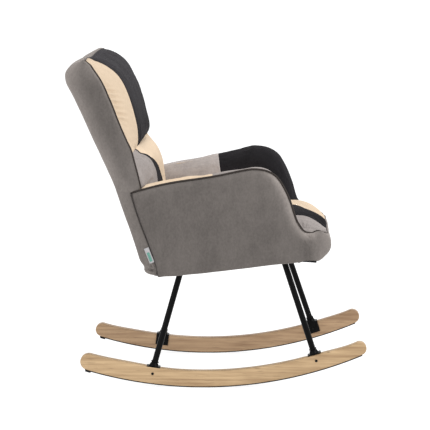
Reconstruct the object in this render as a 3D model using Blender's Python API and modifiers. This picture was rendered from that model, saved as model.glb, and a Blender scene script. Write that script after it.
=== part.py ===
"""Upholstered rocking chair, modelled piece by piece.

Metres, +Z up. The chair faces -Y, +X is the sitter's left. The origin is on the floor, under the
middle of the chair's bounding box.
"""

from math import asin, atan2, cos, hypot, pi, sin, sqrt

import bmesh
import bpy
from mathutils import Matrix, Vector

GAP = 0.0003  # clearance left between neighbouring pieces
FLANGE_GAP = 0.0008  # the same under a flat flange on the hollow curve of a rocker

# Rockers: two circular arcs of one centre, seen from the side.
ROCK_RADIUS = 1.210  # underside of the rubber strip
ROCK_CENTRE_Y = 0.050
ROCKER_DEPTH = 0.0475
ROCKER_WIDTH = 0.025
ROCKER_X = 0.2475  # middle of each rocker
ROCKER_FRONT = -0.438
ROCKER_REAR = 0.407
STRIP_THICKNESS = 0.0025
STRIP_WIDTH = 0.021
CONTACT_HALF = 0.026  # half of the level stretch that the chair stands on
ARC_STEP = 0.037  # length of each straight stretch that an arc is made of
END_STEPS = 6  # straight stretches round each rocker end
ROCKER_EASING = 0.002
STRIP_SETBACK = 0.020  # the strip stops this far short of each end
STOP_PAD = (0.018, 0.017, 0.004)

# Legs: straight round tubes that splay outwards and along the rockers.
TUBE_RADIUS = 0.009
TUBE_WALL = 0.0015
LEG_TOP_X = 0.200
LEG_TOP_Z = 0.370
LEG_FOOT_Z = 0.090
LEG_TOP_Y = {"front": -0.197, "rear": 0.103}
LEG_FOOT_Y = {"front": -0.291, "rear": 0.182}
FLANGE_LENGTH = 0.040
PLATE_DROP = 0.037
SHEET = 0.003  # thickness of every pressed steel plate
COLLAR_HEIGHT = 0.011
BOLT_DROP = 0.018  # bolt centre below the rocker's top edge
BOLT_RADIUS = 0.003
BOLT_HEAD_RADIUS = 0.0043

# Seat frame: boards on a plane that falls towards the back.
SEAT_FRONT = (-0.300, 0.394)  # (y, z) of the frame's underside
SEAT_REAR = (0.178, 0.351)
RAIL = 0.022
RAIL_HEIGHT = 0.060
DUST_THICKNESS = 0.0015
LEG_PLATE = 0.060
SCREW_SPREAD = 0.021
SCREW_RADIUS = 0.002
STRAP_WIDTH = 0.080
STRAP_X = (-0.090, 0.090)

# Layers of each side, from the outside in.
OUTER_X = 0.325
COVER_INNER_X = 0.297
PANEL_INNER_X = 0.279
PAD_INNER_X = 0.235
WING_OUTER_X = 0.316
WING_INNER_X = 0.275

# Side outlines, (y, z). Each is a smooth curve through its points.
ARM_TOP = [(0.250, 0.589), (0.144, 0.616), (0.011, 0.637), (-0.075, 0.655), (-0.112, 0.659)]
ARM_NOSE = [(-0.112, 0.659), (-0.149, 0.652), (-0.179, 0.629), (-0.207, 0.578), (-0.229, 0.515)]
ARM_TOE = [(-0.229, 0.515), (-0.239, 0.492), (-0.255, 0.477), (-0.275, 0.472)]
BORDER_FRONT = [(-0.322, 0.465), (-0.331, 0.446), (-0.334, 0.427), (-0.328, 0.408), (-0.297, 0.389)]
SIDE_BOTTOM = [(-0.297, 0.389), (-0.212, 0.381), (-0.100, 0.368), (0.080, 0.347), (0.172, 0.343)]
SIDE_REAR = [(0.172, 0.343), (0.178, 0.376), (0.199, 0.440), (0.2275, 0.515), (0.250, 0.589)]
PANEL_REAR = [(0.186, 0.374), (0.209, 0.440), (0.234, 0.520), (0.250, 0.582)]
BACK_REAR = [(0.394, 0.978), (0.420, 0.960), (0.437, 0.930), (0.411, 0.858), (0.337, 0.696)]
BACK_LOW = [(0.337, 0.696), (0.297, 0.602), (0.260, 0.497), (0.228, 0.402), (0.208, 0.362)]
WING_FRONT = [(0.386, 0.978), (0.358, 0.946), (0.328, 0.897), (0.290, 0.803), (0.251, 0.712)]
WING_LOW = [(0.251, 0.712), (0.238, 0.665), (0.226, 0.612)]
CUSHION_FRONT = [(0.382, 0.978), (0.345, 0.970), (0.297, 0.930), (0.262, 0.870), (0.241, 0.790)]
CUSHION_LOW = [(0.241, 0.790), (0.236, 0.740), (0.246, 0.711)]
LUMBAR_TOP = [(0.246, 0.7105), (0.208, 0.700), (0.187, 0.664), (0.180, 0.625)]
LUMBAR_LOW = [(0.180, 0.625), (0.170, 0.560), (0.172, 0.492)]
SEAT_TOP = [(0.169, 0.484), (0.000, 0.508), (-0.180, 0.521), (-0.250, 0.519), (-0.300, 0.500)]
SEAT_NOSE = [(-0.300, 0.500), (-0.318, 0.483), (-0.322, 0.4655)]
PIPING_RADIUS = 0.0025
PIPING_TOP = [(0.366, 0.968), (0.380, 0.9815)]
BACK_COVER = 0.022  # padding and cover behind the posts
POST_DEPTH = 0.040
POST_WIDTH = 0.026
POST_X = 0.246
POST_ENDS = (0.425, 0.930)  # heights of the posts' two ends
RETURN_ENDS = (0.364, 0.6105)  # heights of the back cover's forward turns
POST_GAP = 0.006  # room behind the posts, where the back's curve isn't followed exactly
LABEL_AT = (0.1975, 0.4070)
LABEL_LEAN = 0.37
LABEL_SIZE = (0.0012, 0.015, 0.048)

COLOURS = {
    "oak": ((0.68, 0.50, 0.30, 1), 0.5, 0.0),
    "pine": ((0.72, 0.58, 0.38, 1), 0.7, 0.0),
    "plywood": ((0.70, 0.55, 0.36, 1), 0.7, 0.0),
    "black_steel": ((0.01, 0.01, 0.011, 1), 0.3, 0.9),
    "bolt_steel": ((0.02, 0.02, 0.02, 1), 0.35, 0.9),
    "black_rubber": ((0.015, 0.015, 0.016, 1), 0.8, 0.0),
    "grey_velvet": ((0.16, 0.145, 0.135, 1), 0.9, 0.0),
    "cream_velvet": ((0.82, 0.68, 0.50, 1), 0.9, 0.0),
    "charcoal_velvet": ((0.045, 0.042, 0.045, 1), 0.9, 0.0),
    "piping": ((0.07, 0.06, 0.055, 1), 0.85, 0.0),
    "dust_cloth": ((0.015, 0.015, 0.015, 1), 0.95, 0.0),
    "webbing": ((0.05, 0.05, 0.05, 1), 0.8, 0.0),
    "label": ((0.8, 0.8, 0.8, 1), 0.8, 0.0),
}

PAD_COLOUR = {-1: "cream_velvet", 1: "charcoal_velvet"}

chair = None
cutters = None


def clear_scene():
    for item in list(bpy.data.objects):
        bpy.data.objects.remove(item, do_unlink=True)


def new_collection(name):
    collection = bpy.data.collections.new(name)
    bpy.context.scene.collection.children.link(collection)
    return collection


def material(name, key):
    """A material of this sub-part's own, with its colour, roughness and metallic value."""
    colour, roughness, metallic = COLOURS[key]
    made = bpy.data.materials.new(name + "_" + key)
    made.use_nodes = True
    shader = made.node_tree.nodes["Principled BSDF"]
    shader.inputs["Base Color"].default_value = colour
    shader.inputs["Roughness"].default_value = roughness
    shader.inputs["Metallic"].default_value = metallic
    made.diffuse_color = colour
    return made


def add_object(name, data, key, collection=None):
    item = bpy.data.objects.new(name, data)
    (collection or chair).objects.link(item)
    if key:
        data.materials.append(material(name, key))
    return item


def mesh_object(name, shape, key, collection=None):
    """An object from a bmesh, which is freed."""
    bmesh.ops.recalc_face_normals(shape, faces=shape.faces)
    data = bpy.data.meshes.new(name)
    shape.to_mesh(data)
    shape.free()
    return add_object(name, data, key, collection)


def smooth_line(points, steps):
    """Points along a Catmull-Rom curve that passes through all the given ones."""
    ends = [Vector(p) for p in points]
    ends = [2 * ends[0] - ends[1]] + ends + [2 * ends[-1] - ends[-2]]
    line = []
    for a, b, c, d in zip(ends, ends[1:], ends[2:], ends[3:]):
        for step in range(steps):
            t = step / steps
            line.append(
                0.5 * (2 * b + (c - a) * t + (2 * a - 5 * b + 4 * c - d) * t**2
                       + (3 * b - a - 3 * c + d) * t**3)
            )
    return line + [ends[-2]]


def outline(strokes, steps=2):
    """One closed outline from smooth strokes that meet at corners."""
    line = []
    for stroke in strokes:
        for point in smooth_line(stroke, steps):
            if not line or (point - line[-1]).length > 1e-5:
                line.append(point)
    if (line[0] - line[-1]).length < 1e-5:
        line.pop()
    return line


def slab(name, points, x_low, x_high, key, rounding=0.0):
    """A flat outline in Y and Z, given a thickness along X and softened edges."""
    curve = bpy.data.curves.new(name, "CURVE")
    curve.dimensions = "2D"
    curve.fill_mode = "BOTH"
    curve.extrude = (x_high - x_low) / 2 - rounding
    curve.bevel_depth = rounding
    curve.bevel_resolution = 1
    curve.offset = -rounding
    spline = curve.splines.new("POLY")
    spline.points.add(len(points) - 1)
    for place, (y, z) in zip(spline.points, points):
        place.co = (y, z, 0, 1)
    spline.use_cyclic_u = True
    item = add_object(name, curve, key)
    item.rotation_euler = (pi / 2, 0, pi / 2)
    item.location.x = (x_low + x_high) / 2
    return item


def shifted(points, along_y, along_z=0.0):
    return [(y + along_y, z + along_z) for y, z in points]


def line_y(points, z):
    """The Y at height z of a line whose points go down or up in Z."""
    ordered = sorted(points, key=lambda p: p[1])
    for (y0, z0), (y1, z1) in zip(ordered, ordered[1:]):
        if z0 <= z <= z1:
            return y0 + (y1 - y0) * (z - z0) / (z1 - z0)
    return ordered[0][0] if z < ordered[0][1] else ordered[-1][0]


def as_mesh(item):
    """The same object as a mesh, so that it can be cut or joined."""
    bpy.context.view_layer.update()
    graph = bpy.context.evaluated_depsgraph_get()
    data = bpy.data.meshes.new_from_object(item.evaluated_get(graph))
    shape = bmesh.new()
    shape.from_mesh(data)
    bmesh.ops.remove_doubles(shape, verts=shape.verts, dist=1e-5)
    shape.to_mesh(data)
    shape.free()
    name, place = item.name, item.matrix_world.copy()
    bpy.data.objects.remove(item, do_unlink=True)
    made = bpy.data.objects.new(name, data)
    chair.objects.link(made)
    made.matrix_world = place
    return made


def hide_away(item):
    """Moves a helper among the cutters, out of every render."""
    for owner in list(item.users_collection):
        owner.objects.unlink(item)
    cutters.objects.link(item)
    item.hide_render = True
    item.display_type = "WIRE"


def boolean(item, other, operation):
    hide_away(other)
    step = item.modifiers.new(operation.lower() + "_" + other.name, "BOOLEAN")
    step.operation = operation
    step.object = other


def box(name, size, key, place, collection=None, edge=0.0):
    """A board of this size, centred on the matrix place, with eased edges."""
    shape = bmesh.new()
    bmesh.ops.create_cube(shape, size=1)
    bmesh.ops.scale(shape, vec=size, verts=shape.verts)
    item = mesh_object(name, shape, key, collection)
    item.matrix_world = place
    if edge:
        ease = item.modifiers.new("eased_edges", "BEVEL")
        ease.width = edge
        ease.segments = 1
    return item


def round_bar(name, start, end, radius, key, end_radius=None, sides=16, collection=None, open_ended=False):
    """A round bar, a cone or a bare round surface from start to end."""
    start, end = Vector(start), Vector(end)
    shape = bmesh.new()
    bmesh.ops.create_cone(
        shape,
        cap_ends=not open_ended,
        segments=sides,
        radius1=radius,
        radius2=radius if end_radius is None else end_radius,
        depth=(end - start).length,
    )
    item = mesh_object(name, shape, key, collection)
    item.matrix_world = Matrix.Translation((start + end) / 2) @ (
        (end - start).to_track_quat("Z", "Y").to_matrix().to_4x4()
    )
    for face in item.data.polygons:
        face.use_smooth = len(face.vertices) == 4
    return item


def side_name(side):
    return "left" if side > 0 else "right"


# ---------------------------------------------------------------- rockers


def arc_angle(y):
    """The angle from straight down at which the middle of the rocker's depth is at this Y."""
    return asin((y - ROCK_CENTRE_Y) / (ROCK_RADIUS - ROCKER_DEPTH / 2))


def arc_point(radius, angle):
    return (ROCK_CENTRE_Y + radius * sin(angle), ROCK_RADIUS - radius * cos(angle))


def facet_angles():
    """Angles of the arc's corners, with one level stretch under the chair."""
    level = CONTACT_HALF / ROCK_RADIUS
    step = ARC_STEP / ROCK_RADIUS
    low, high = arc_angle(ROCKER_FRONT), arc_angle(ROCKER_REAR)
    before = int((-level - low) / step) + 1
    after = int((high - level) / step) + 1
    angles = [low + (-level - low) * i / before for i in range(before)]
    return angles + [-level, level] + [level + (high - level) * i / after for i in range(1, after + 1)]


def make_rocker(side):
    inner = ROCK_RADIUS - STRIP_THICKNESS - GAP
    outer = inner - ROCKER_DEPTH
    half = ROCKER_DEPTH / 2
    angles = facet_angles()
    low, high = angles[0] + half / ROCK_RADIUS, angles[-1] - half / ROCK_RADIUS
    angles = [low] + [a for a in angles if low < a < high] + [high]
    under = [arc_point(inner, a) for a in angles]
    over = [arc_point(outer, a) for a in reversed(angles)]
    points = under + round_end(angles[-1], inner - half, half, 1)
    points += over + round_end(angles[0], inner - half, half, -1)
    x_low = side * ROCKER_X - ROCKER_WIDTH / 2
    name = "rocker_" + side_name(side)
    return slab(name, points, x_low, x_low + ROCKER_WIDTH, "oak", rounding=ROCKER_EASING)


def round_end(angle, radius, half, direction):
    """The corners of a half-round end, from the underside up at the rear, or down at the front."""
    y, z = arc_point(radius, angle)
    corners = []
    for step in range(1, END_STEPS):
        turn = pi * step / END_STEPS
        out = direction * half * sin(turn)
        rise = -direction * half * cos(turn)
        corners.append((y + out * cos(angle) - rise * sin(angle), z + out * sin(angle) + rise * cos(angle)))
    return corners


def make_strip(side):
    """The rubber strip glued under a rocker, and the chair's contact with the floor."""
    angles = facet_angles()
    trim = STRIP_SETBACK / ROCK_RADIUS
    low, high = angles[0] + trim, angles[-1] - trim
    angles = [low] + [a for a in angles if low < a < high] + [high]
    points = [arc_point(ROCK_RADIUS, a) for a in angles]
    points += [arc_point(ROCK_RADIUS - STRIP_THICKNESS, a) for a in reversed(angles)]
    lift = ROCK_RADIUS * (1 - cos(CONTACT_HALF / ROCK_RADIUS))
    points = [(y, z - lift) for y, z in points]
    x_low = side * ROCKER_X - STRIP_WIDTH / 2
    return slab("anti_slip_strip_" + side_name(side), points, x_low, x_low + STRIP_WIDTH, "black_rubber")


def make_stop_pad(side):
    """The thicker rubber pad under the rear end, which stops the chair tipping over backwards."""
    angle = arc_angle(ROCKER_REAR) - 1.5 * STRIP_SETBACK / ROCK_RADIUS
    y, z = arc_point(ROCK_RADIUS + STOP_PAD[2] / 2 + GAP, angle)
    place = Matrix.Translation((side * ROCKER_X, y, z)) @ Matrix.Rotation(angle, 4, "X")
    return box("stop_pad_" + side_name(side), STOP_PAD, "black_rubber", place, edge=0.0008)


# ---------------------------------------------------------------- legs


def seat_slope():
    return atan2(SEAT_REAR[1] - SEAT_FRONT[1], SEAT_REAR[0] - SEAT_FRONT[0])


def seat_place(x, y, height):
    """A place at this X and Y, this far above the plane of the seat frame's underside."""
    slope = seat_slope()
    z = SEAT_FRONT[1] + (y - SEAT_FRONT[0]) * sin(slope) / cos(slope)
    spot = Vector((x, y, z)) + height * Vector((0, -sin(slope), cos(slope)))
    return Matrix.Translation(spot) @ Matrix.Rotation(slope, 4, "X")


def leg_line(side, end):
    top = Vector((side * LEG_TOP_X, LEG_TOP_Y[end], LEG_TOP_Z))
    foot = Vector((side * ROCKER_X, LEG_FOOT_Y[end], LEG_FOOT_Z))
    return top, (foot - top).normalized()


def leg_at_height(side, end, z):
    top, run = leg_line(side, end)
    return top + run * ((z - top.z) / run.z)


def foot_place(side, end):
    """The rocker's top surface under a leg: the point and the angle of the arc there."""
    y = leg_at_height(side, end, LEG_FOOT_Z).y
    for _ in range(8):
        radius = ROCK_RADIUS - STRIP_THICKNESS - GAP - ROCKER_DEPTH
        angle = atan2(y - ROCK_CENTRE_Y, sqrt(radius**2 - (y - ROCK_CENTRE_Y) ** 2))
        z = arc_point(radius, angle)[1]
        y = leg_at_height(side, end, z).y
    return Vector((side * ROCKER_X, y, z)), angle


def plate_place(side, end, height):
    """A frame on the seat's underside where the leg's axis meets it."""
    slope = seat_slope()
    z = LEG_TOP_Z
    for _ in range(8):
        spot = leg_at_height(side, end, z)
        z = (seat_place(spot.x, spot.y, height) @ Vector((0, 0, 0))).z
    return seat_place(spot.x, spot.y + height * sin(slope), height)


def make_leg(side, end):
    foot, angle = foot_place(side, end)
    _, run = leg_line(side, end)
    up = Vector((0, -sin(angle), cos(angle)))
    start = foot - run * ((SHEET + 0.0012) / abs(run.dot(up)))
    stop = plate_place(side, end, -DUST_THICKNESS - SHEET - 3 * GAP)
    normal = stop.to_quaternion() @ Vector((0, 0, 1))
    top = stop.translation + run * (TUBE_RADIUS * 0.45)
    name = "leg_" + end + "_" + side_name(side)
    leg = round_bar(name, start, top - normal * GAP, TUBE_RADIUS, "black_steel", sides=16, open_ended=True)
    wall = leg.modifiers.new("tube_wall", "SOLIDIFY")
    wall.thickness = TUBE_WALL
    wall.offset = -1
    return leg


def make_bracket(side, end):
    """The pressed foot bracket: a flange on the rocker, a plate down its inner face, and a socket."""
    foot, angle = foot_place(side, end)
    name = "foot_bracket_" + end + "_" + side_name(side)
    turn = Matrix.Translation(foot) @ Matrix.Rotation(angle, 4, "X")
    width = ROCKER_WIDTH + SHEET + GAP
    lift = SHEET / 2 + FLANGE_GAP
    middle = -side * (SHEET + GAP) / 2
    flange = box(name, (width, FLANGE_LENGTH, SHEET), "black_steel",
                 turn @ Matrix.Translation((middle, 0, lift)), edge=0.0006)
    plate_x = -side * (ROCKER_WIDTH / 2 + GAP + SHEET / 2)
    plate = box(name + "_plate", (SHEET, FLANGE_LENGTH, PLATE_DROP), None,
                turn @ Matrix.Translation((plate_x, 0, lift + SHEET / 2 - PLATE_DROP / 2)), cutters)
    boolean(flange, plate, "UNION")
    _, run = leg_line(side, end)
    base = foot - run * 0.002
    collar = round_bar(name + "_collar", base, base - run * COLLAR_HEIGHT, TUBE_RADIUS + 0.006, None,
                       TUBE_RADIUS + 0.0022, 16, cutters)
    boolean(flange, collar, "UNION")
    below = box(name + "_below", (0.032, 0.060, 0.030), None,
                turn @ Matrix.Translation((side * 0.0034, 0, FLANGE_GAP - 0.015)), cutters)
    boolean(flange, below, "DIFFERENCE")
    up = Vector((0, -sin(angle), cos(angle)))
    bore_start = foot - run * ((SHEET + 0.0009) / abs(run.dot(up)))
    bore = round_bar(name + "_bore", bore_start, bore_start - run * 0.05, TUBE_RADIUS + GAP, None,
                     None, 16, cutters)
    boolean(flange, bore, "DIFFERENCE")
    bolt = bolt_centre(side, end)
    reach = Vector((0.03, 0, 0))
    hole = round_bar(name + "_hole", bolt - reach, bolt + reach, BOLT_RADIUS + GAP, None, None, 12, cutters)
    boolean(flange, hole, "DIFFERENCE")
    return flange


def bolt_centre(side, end):
    foot, angle = foot_place(side, end)
    return foot + BOLT_DROP * Vector((0, sin(angle), -cos(angle)))


def drill_rocker(rocker, side):
    """Holes for the two bolts of a rocker."""
    drilled = as_mesh(rocker)
    for end in LEG_TOP_Y:
        bolt = bolt_centre(side, end)
        reach = Vector((0.03, 0, 0))
        hole = round_bar(drilled.name + "_hole_" + end, bolt - reach, bolt + reach,
                         BOLT_RADIUS + GAP, None, None, 12, cutters)
        boolean(drilled, hole, "DIFFERENCE")
    return drilled


def make_bolt(side, end):
    """A bolt with a low round head on the rocker's outer face, through to the bracket's plate."""
    bolt = bolt_centre(side, end)
    name = "rocker_bolt_" + end + "_" + side_name(side)
    face = side * (ROCKER_WIDTH / 2 + GAP)
    inside = -side * (ROCKER_WIDTH / 2 + SHEET + 0.004)
    shank = round_bar(name, bolt + Vector((inside, 0, 0)), bolt + Vector((face * 1.02, 0, 0)),
                      BOLT_RADIUS, "bolt_steel", None, 12)
    head = round_bar(name + "_head", bolt + Vector((face, 0, 0)),
                     bolt + Vector((face + side * 0.0016, 0, 0)), BOLT_HEAD_RADIUS, None,
                     BOLT_HEAD_RADIUS * 0.8, 12, cutters)
    boolean(shank, head, "UNION")
    return shank


def make_leg_plate(side, end):
    """The square plate at the top of a leg, under the seat frame."""
    place = plate_place(side, end, -DUST_THICKNESS - GAP - SHEET / 2 - GAP)
    name = "leg_plate_" + end + "_" + side_name(side)
    plate = box(name, (LEG_PLATE, LEG_PLATE, SHEET), "black_steel", place, edge=0.0006)
    for turn in (-1, 1):
        cut_screw_hole(plate, side, end, turn)
    return plate


def screw_line(side, end, turn):
    place = plate_place(side, end, -DUST_THICKNESS - GAP - SHEET / 2 - GAP)
    low = place @ Vector((turn * SCREW_SPREAD, turn * SCREW_SPREAD * side, -0.004))
    high = place @ Vector((turn * SCREW_SPREAD, turn * SCREW_SPREAD * side, 0.020))
    return low, high


def cut_screw_hole(item, side, end, turn):
    low, high = screw_line(side, end, turn)
    run = (high - low).normalized()
    name = item.name + "_screw_" + end + "_" + side_name(side) + ("_a" if turn < 0 else "_b")
    start, stop = low - run * 0.01, high + run * 0.0015
    hole = round_bar(name, start, stop, SCREW_RADIUS + GAP, None, None, 8, cutters)
    boolean(item, hole, "DIFFERENCE")


def make_screw(side, end, turn):
    """A wood screw that holds a leg plate to the cross rail."""
    low, high = screw_line(side, end, turn)
    run = (high - low).normalized()
    name = "plate_screw_" + end + "_" + side_name(side) + ("_a" if turn < 0 else "_b")
    under = low + run * (0.004 - SHEET / 2 - GAP)
    screw = round_bar(name, under - run * 0.0002, high, SCREW_RADIUS, "bolt_steel", None, 8)
    head = round_bar(name + "_head", under - run * 0.0018, under, SCREW_RADIUS * 1.4, None,
                     SCREW_RADIUS * 2.0, 8, cutters)
    boolean(screw, head, "UNION")
    return screw


# ---------------------------------------------------------------- seat frame


def make_seat_frame():
    front_y, rear_y = SEAT_FRONT[0] + 0.012, SEAT_REAR[0]
    side_x = PANEL_INNER_X - GAP - RAIL / 2
    run = (rear_y - front_y) / cos(seat_slope())
    middle = (front_y + rear_y) / 2
    inside = 2 * (side_x - RAIL / 2 - GAP)
    mid_height = RAIL_HEIGHT / 2 + GAP
    for side in (-1, 1):
        box("seat_rail_" + side_name(side), (RAIL, run, RAIL_HEIGHT), "pine",
            seat_place(side * side_x, middle, mid_height), edge=0.0015)
    for name, y in (("seat_rail_front", front_y + RAIL / 2), ("seat_rail_rear", rear_y - RAIL / 2)):
        box(name, (inside, RAIL, RAIL_HEIGHT), "pine", seat_place(0, y, mid_height), edge=0.0015)
    for end in LEG_TOP_Y:
        spot = plate_place(1, end, 0).translation
        rail = box("cross_rail_" + end, (inside, 0.070, RAIL), "pine",
                   seat_place(0, spot.y, RAIL / 2 + GAP), edge=0.0015)
        for side in (-1, 1):
            for turn in (-1, 1):
                cut_screw_hole(rail, side, end, turn)
    strap_run = run - 0.004
    for number, x in enumerate(STRAP_X, 1):
        box("webbing_strap_" + str(number), (STRAP_WIDTH, strap_run, 0.002), "webbing",
            seat_place(x, middle, RAIL_HEIGHT + 2 * GAP + 0.001))
    dust = box("dust_cover", (2 * PANEL_INNER_X - 0.004, run, DUST_THICKNESS), "dust_cloth",
               seat_place(0, middle, -DUST_THICKNESS / 2))
    for end in LEG_TOP_Y:
        for side in (-1, 1):
            for turn in (-1, 1):
                cut_screw_hole(dust, side, end, turn)


# ---------------------------------------------------------------- sides


def make_arm(side):
    """The outer cover, the plywood panel and the inner pad of one arm."""
    name = side_name(side)
    seam = [ARM_TOE[-1], BORDER_FRONT[0]]
    strokes = [ARM_TOP, ARM_NOSE, ARM_TOE, seam, BORDER_FRONT, SIDE_BOTTOM, SIDE_REAR]
    cover = sorted((side * OUTER_X, side * COVER_INNER_X))
    slab("side_cover_" + name, outline(strokes), *cover, "grey_velvet", rounding=0.006)
    panel = sorted((side * (COVER_INNER_X - GAP), side * PANEL_INNER_X))
    slab("arm_panel_" + name, outline(arm_board()), *panel, "plywood")
    pad = sorted((side * (PANEL_INNER_X - GAP), side * PAD_INNER_X))
    slab("arm_pad_" + name, outline(arm_pad()), *pad, PAD_COLOUR[side], rounding=0.008)


def arm_board():
    """The plywood's outline, a little inside the cover's."""
    top = shifted(ARM_TOP[:-1], 0.0, -0.006) + [(-0.110, 0.652)]
    nose = [(-0.110, 0.652), (-0.145, 0.645), (-0.173, 0.622), (-0.200, 0.574), (-0.222, 0.512)]
    nose.append((-0.240, 0.470))
    low = [nose[-1], (-0.256, 0.448), (-0.272, 0.400), (0.170, 0.356), PANEL_REAR[0]]
    top[0] = PANEL_REAR[-1]
    return [top, nose] + straight(low) + [PANEL_REAR]


def straight(points):
    return [[a, b] for a, b in zip(points, points[1:])]


def arm_pad():
    """The inner pad: a little higher than the outer cover, down to the seat frame."""
    top = [(0.168, 0.616), (0.011, 0.644), (-0.075, 0.662), (-0.112, 0.666)]
    nose = [(-0.112, 0.666), (-0.153, 0.659), (-0.184, 0.634), (-0.213, 0.582), (-0.234, 0.524)]
    nose.append((-0.243, 0.500))
    low = [nose[-1], (-0.262, 0.4605), (0.160, 0.4225), (0.168, 0.440), top[0]]
    return [top, nose] + straight(low)


# ---------------------------------------------------------------- back


def back_line():
    return smooth_line(BACK_REAR, 2)[4:] + smooth_line(BACK_LOW, 2)[1:]


def offset_back(depth):
    """The back's rear surface moved forwards by this depth."""
    return [(p[0] - depth, p[1]) for p in back_line()]


def make_back_frame():
    """Two posts joined by a top rail and a lumbar rail, in front of the back cover."""
    rear = offset_back(BACK_COVER + POST_GAP)
    front = offset_back(BACK_COVER + POST_GAP + POST_DEPTH)
    low, high = POST_ENDS
    points = [p for p in rear if low < p[1] < high]
    points += reversed([p for p in front if low < p[1] < high])
    for side in (-1, 1):
        limits = (side * POST_X - POST_WIDTH / 2, side * POST_X + POST_WIDTH / 2)
        slab("back_post_" + side_name(side), points, *limits, "pine")
    width = 2 * (POST_X - POST_WIDTH / 2 - GAP)
    for name, z, height in (("back_rail_top", 0.880, 0.055), ("back_rail_lumbar", 0.640, 0.055)):
        low, high = z - height / 2, z + height / 2
        y_low, y_high = line_y(rear, low), line_y(rear, high)
        slope = atan2(y_high - y_low, height)
        y = (y_low + y_high) / 2 - RAIL / 2 * cos(slope) - 0.003
        place = Matrix.Translation((0, y, z)) @ Matrix.Rotation(-slope, 4, "X")
        box(name, (width, RAIL, height), "pine", place, edge=0.0015)


def make_back_cover():
    """The outer back: padding and cover behind the posts, rolled over the top.

    Below the wings it turns forward on each side, outside the arm's panel, as far as the rear seam.
    """
    low_front = offset_back(BACK_COVER)
    front = [p for p in reversed(low_front) if p[1] < 0.93]
    tail = [(0.392, 0.940), (0.372, 0.960), (0.388, 0.978)]
    points = outline([BACK_REAR, BACK_LOW]) + [Vector(p) for p in front + tail]
    cover = slab("back_cover", points, -WING_OUTER_X, WING_OUTER_X, "grey_velvet", rounding=0.002)
    whole = as_mesh(cover)
    low, high = RETURN_ENDS
    clear_y = SIDE_REAR[-1][0] + 0.0035  # behind the end of the arm's piping
    inner = offset_back(BACK_COVER - 0.006)
    seam = [(p.x + GAP, p.y) for p in smooth_line(SIDE_REAR, 2) if low < p.y < 0.570]
    turned = [(line_y(SIDE_REAR, low) + GAP, low)] + seam + [(clear_y, 0.580), (clear_y, high)]
    turned += [(line_y(inner, high), high)] + [p for p in inner if low < p[1] < high]
    turned.append((line_y(inner, low), low))
    for side in (-1, 1):
        limits = sorted((side * COVER_INNER_X, side * (WING_OUTER_X - 0.0005)))
        piece = slab("return_" + side_name(side), turned, *limits, "grey_velvet")
        boolean(whole, as_mesh(piece), "UNION")


def make_wing(side):
    """The padded wing beside the back cushion, above the arm."""
    foot = WING_LOW[-1][1]
    front = outline([WING_FRONT[1:], WING_LOW])
    rear = [p for p in offset_back(BACK_COVER + 0.001) if foot < p[1] < POST_ENDS[1]]
    corner = Vector((line_y(back_line(), foot) - BACK_COVER - 0.002, foot))
    points = [Vector((0.370, 0.957))] + front + [corner]
    points += [Vector(p) for p in reversed(rear) if p[1] > foot + 0.008]
    limits = sorted((side * WING_OUTER_X, side * WING_INNER_X))
    slab("wing_" + side_name(side), points, *limits, "grey_velvet", rounding=0.004)


def cushion_back(z):
    """The plane behind the cushions: just in front of the posts."""
    return line_y(offset_back(BACK_COVER + POST_GAP + POST_DEPTH + 0.0035), z)


def make_back_cushion():
    front = outline([CUSHION_FRONT, CUSHION_LOW])[1:]
    rear = [Vector((cushion_back(z), z)) for z in (0.7115, 0.80, 0.90, 0.925)]
    points = front + rear + [Vector((0.368, 0.953))]
    limit = WING_INNER_X - 2 * GAP
    slab("back_cushion", points, -limit, limit, "charcoal_velvet", rounding=0.004)


def make_lumbar_cushion():
    """The roll at the small of the back: full width above the arms, narrower between them."""
    split = 0.618
    top, foot = LUMBAR_TOP[0][1], LUMBAR_LOW[-1][1]
    upper = [Vector(p) for p in smooth_line(LUMBAR_TOP, 2) if p[1] > split]
    upper += [Vector((0.179, split)), Vector((cushion_back(split), split)), Vector((cushion_back(top), top))]
    lower = [Vector((0.1795, split + 0.001))] + smooth_line(LUMBAR_LOW, 2)[1:]
    lower += [Vector((cushion_back(foot), foot)), Vector((cushion_back(split), split + 0.001))]
    limit = WING_INNER_X - 2 * GAP
    wide = slab("lumbar_cushion", upper, -limit, limit, "cream_velvet")
    limit = PAD_INNER_X - 2 * GAP
    narrow = slab("lumbar_lower", lower, -limit, limit, "cream_velvet")
    whole = as_mesh(wide)
    boolean(whole, as_mesh(narrow), "UNION")


# ---------------------------------------------------------------- seat


def seat_height(y, height):
    return seat_place(0, y, height).translation.z


def make_seat_cushion():
    """The seat: between the arms, and wider in front of them."""
    base = RAIL_HEIGHT + 0.004
    top = outline([SEAT_TOP, SEAT_NOSE])
    front = Vector((-0.318, seat_height(-0.318, base)))
    rear = Vector((0.1685, seat_height(0.1685, base)))
    limit = PAD_INNER_X - 2 * GAP
    body = slab("seat_cushion", top + [front, rear], -limit, limit, "cream_velvet", rounding=0.004)
    clear_y = -0.262  # in front of the arms' pads
    nose = [Vector((clear_y, 0.5125))] + [p for p in top if p.x < clear_y]
    nose += [front, Vector((clear_y, seat_height(clear_y, base)))]
    limit = COVER_INNER_X - 0.002
    wide = slab("seat_front", nose, -limit, limit, "cream_velvet", rounding=0.004)
    whole = as_mesh(body)
    boolean(whole, as_mesh(wide), "UNION")


def make_front_border():
    """The padded border below the seat's front seam."""
    rear = SEAT_FRONT[0] + 0.0105
    points = outline([BORDER_FRONT])
    points += [Vector((rear, BORDER_FRONT[-1][1] + 0.004)), Vector((rear, 0.4525)), Vector((-0.318, 0.4585))]
    limit = COVER_INNER_X - GAP
    slab("front_border", points, -limit, limit, "grey_velvet", rounding=0.002)


# ---------------------------------------------------------------- trim


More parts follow.
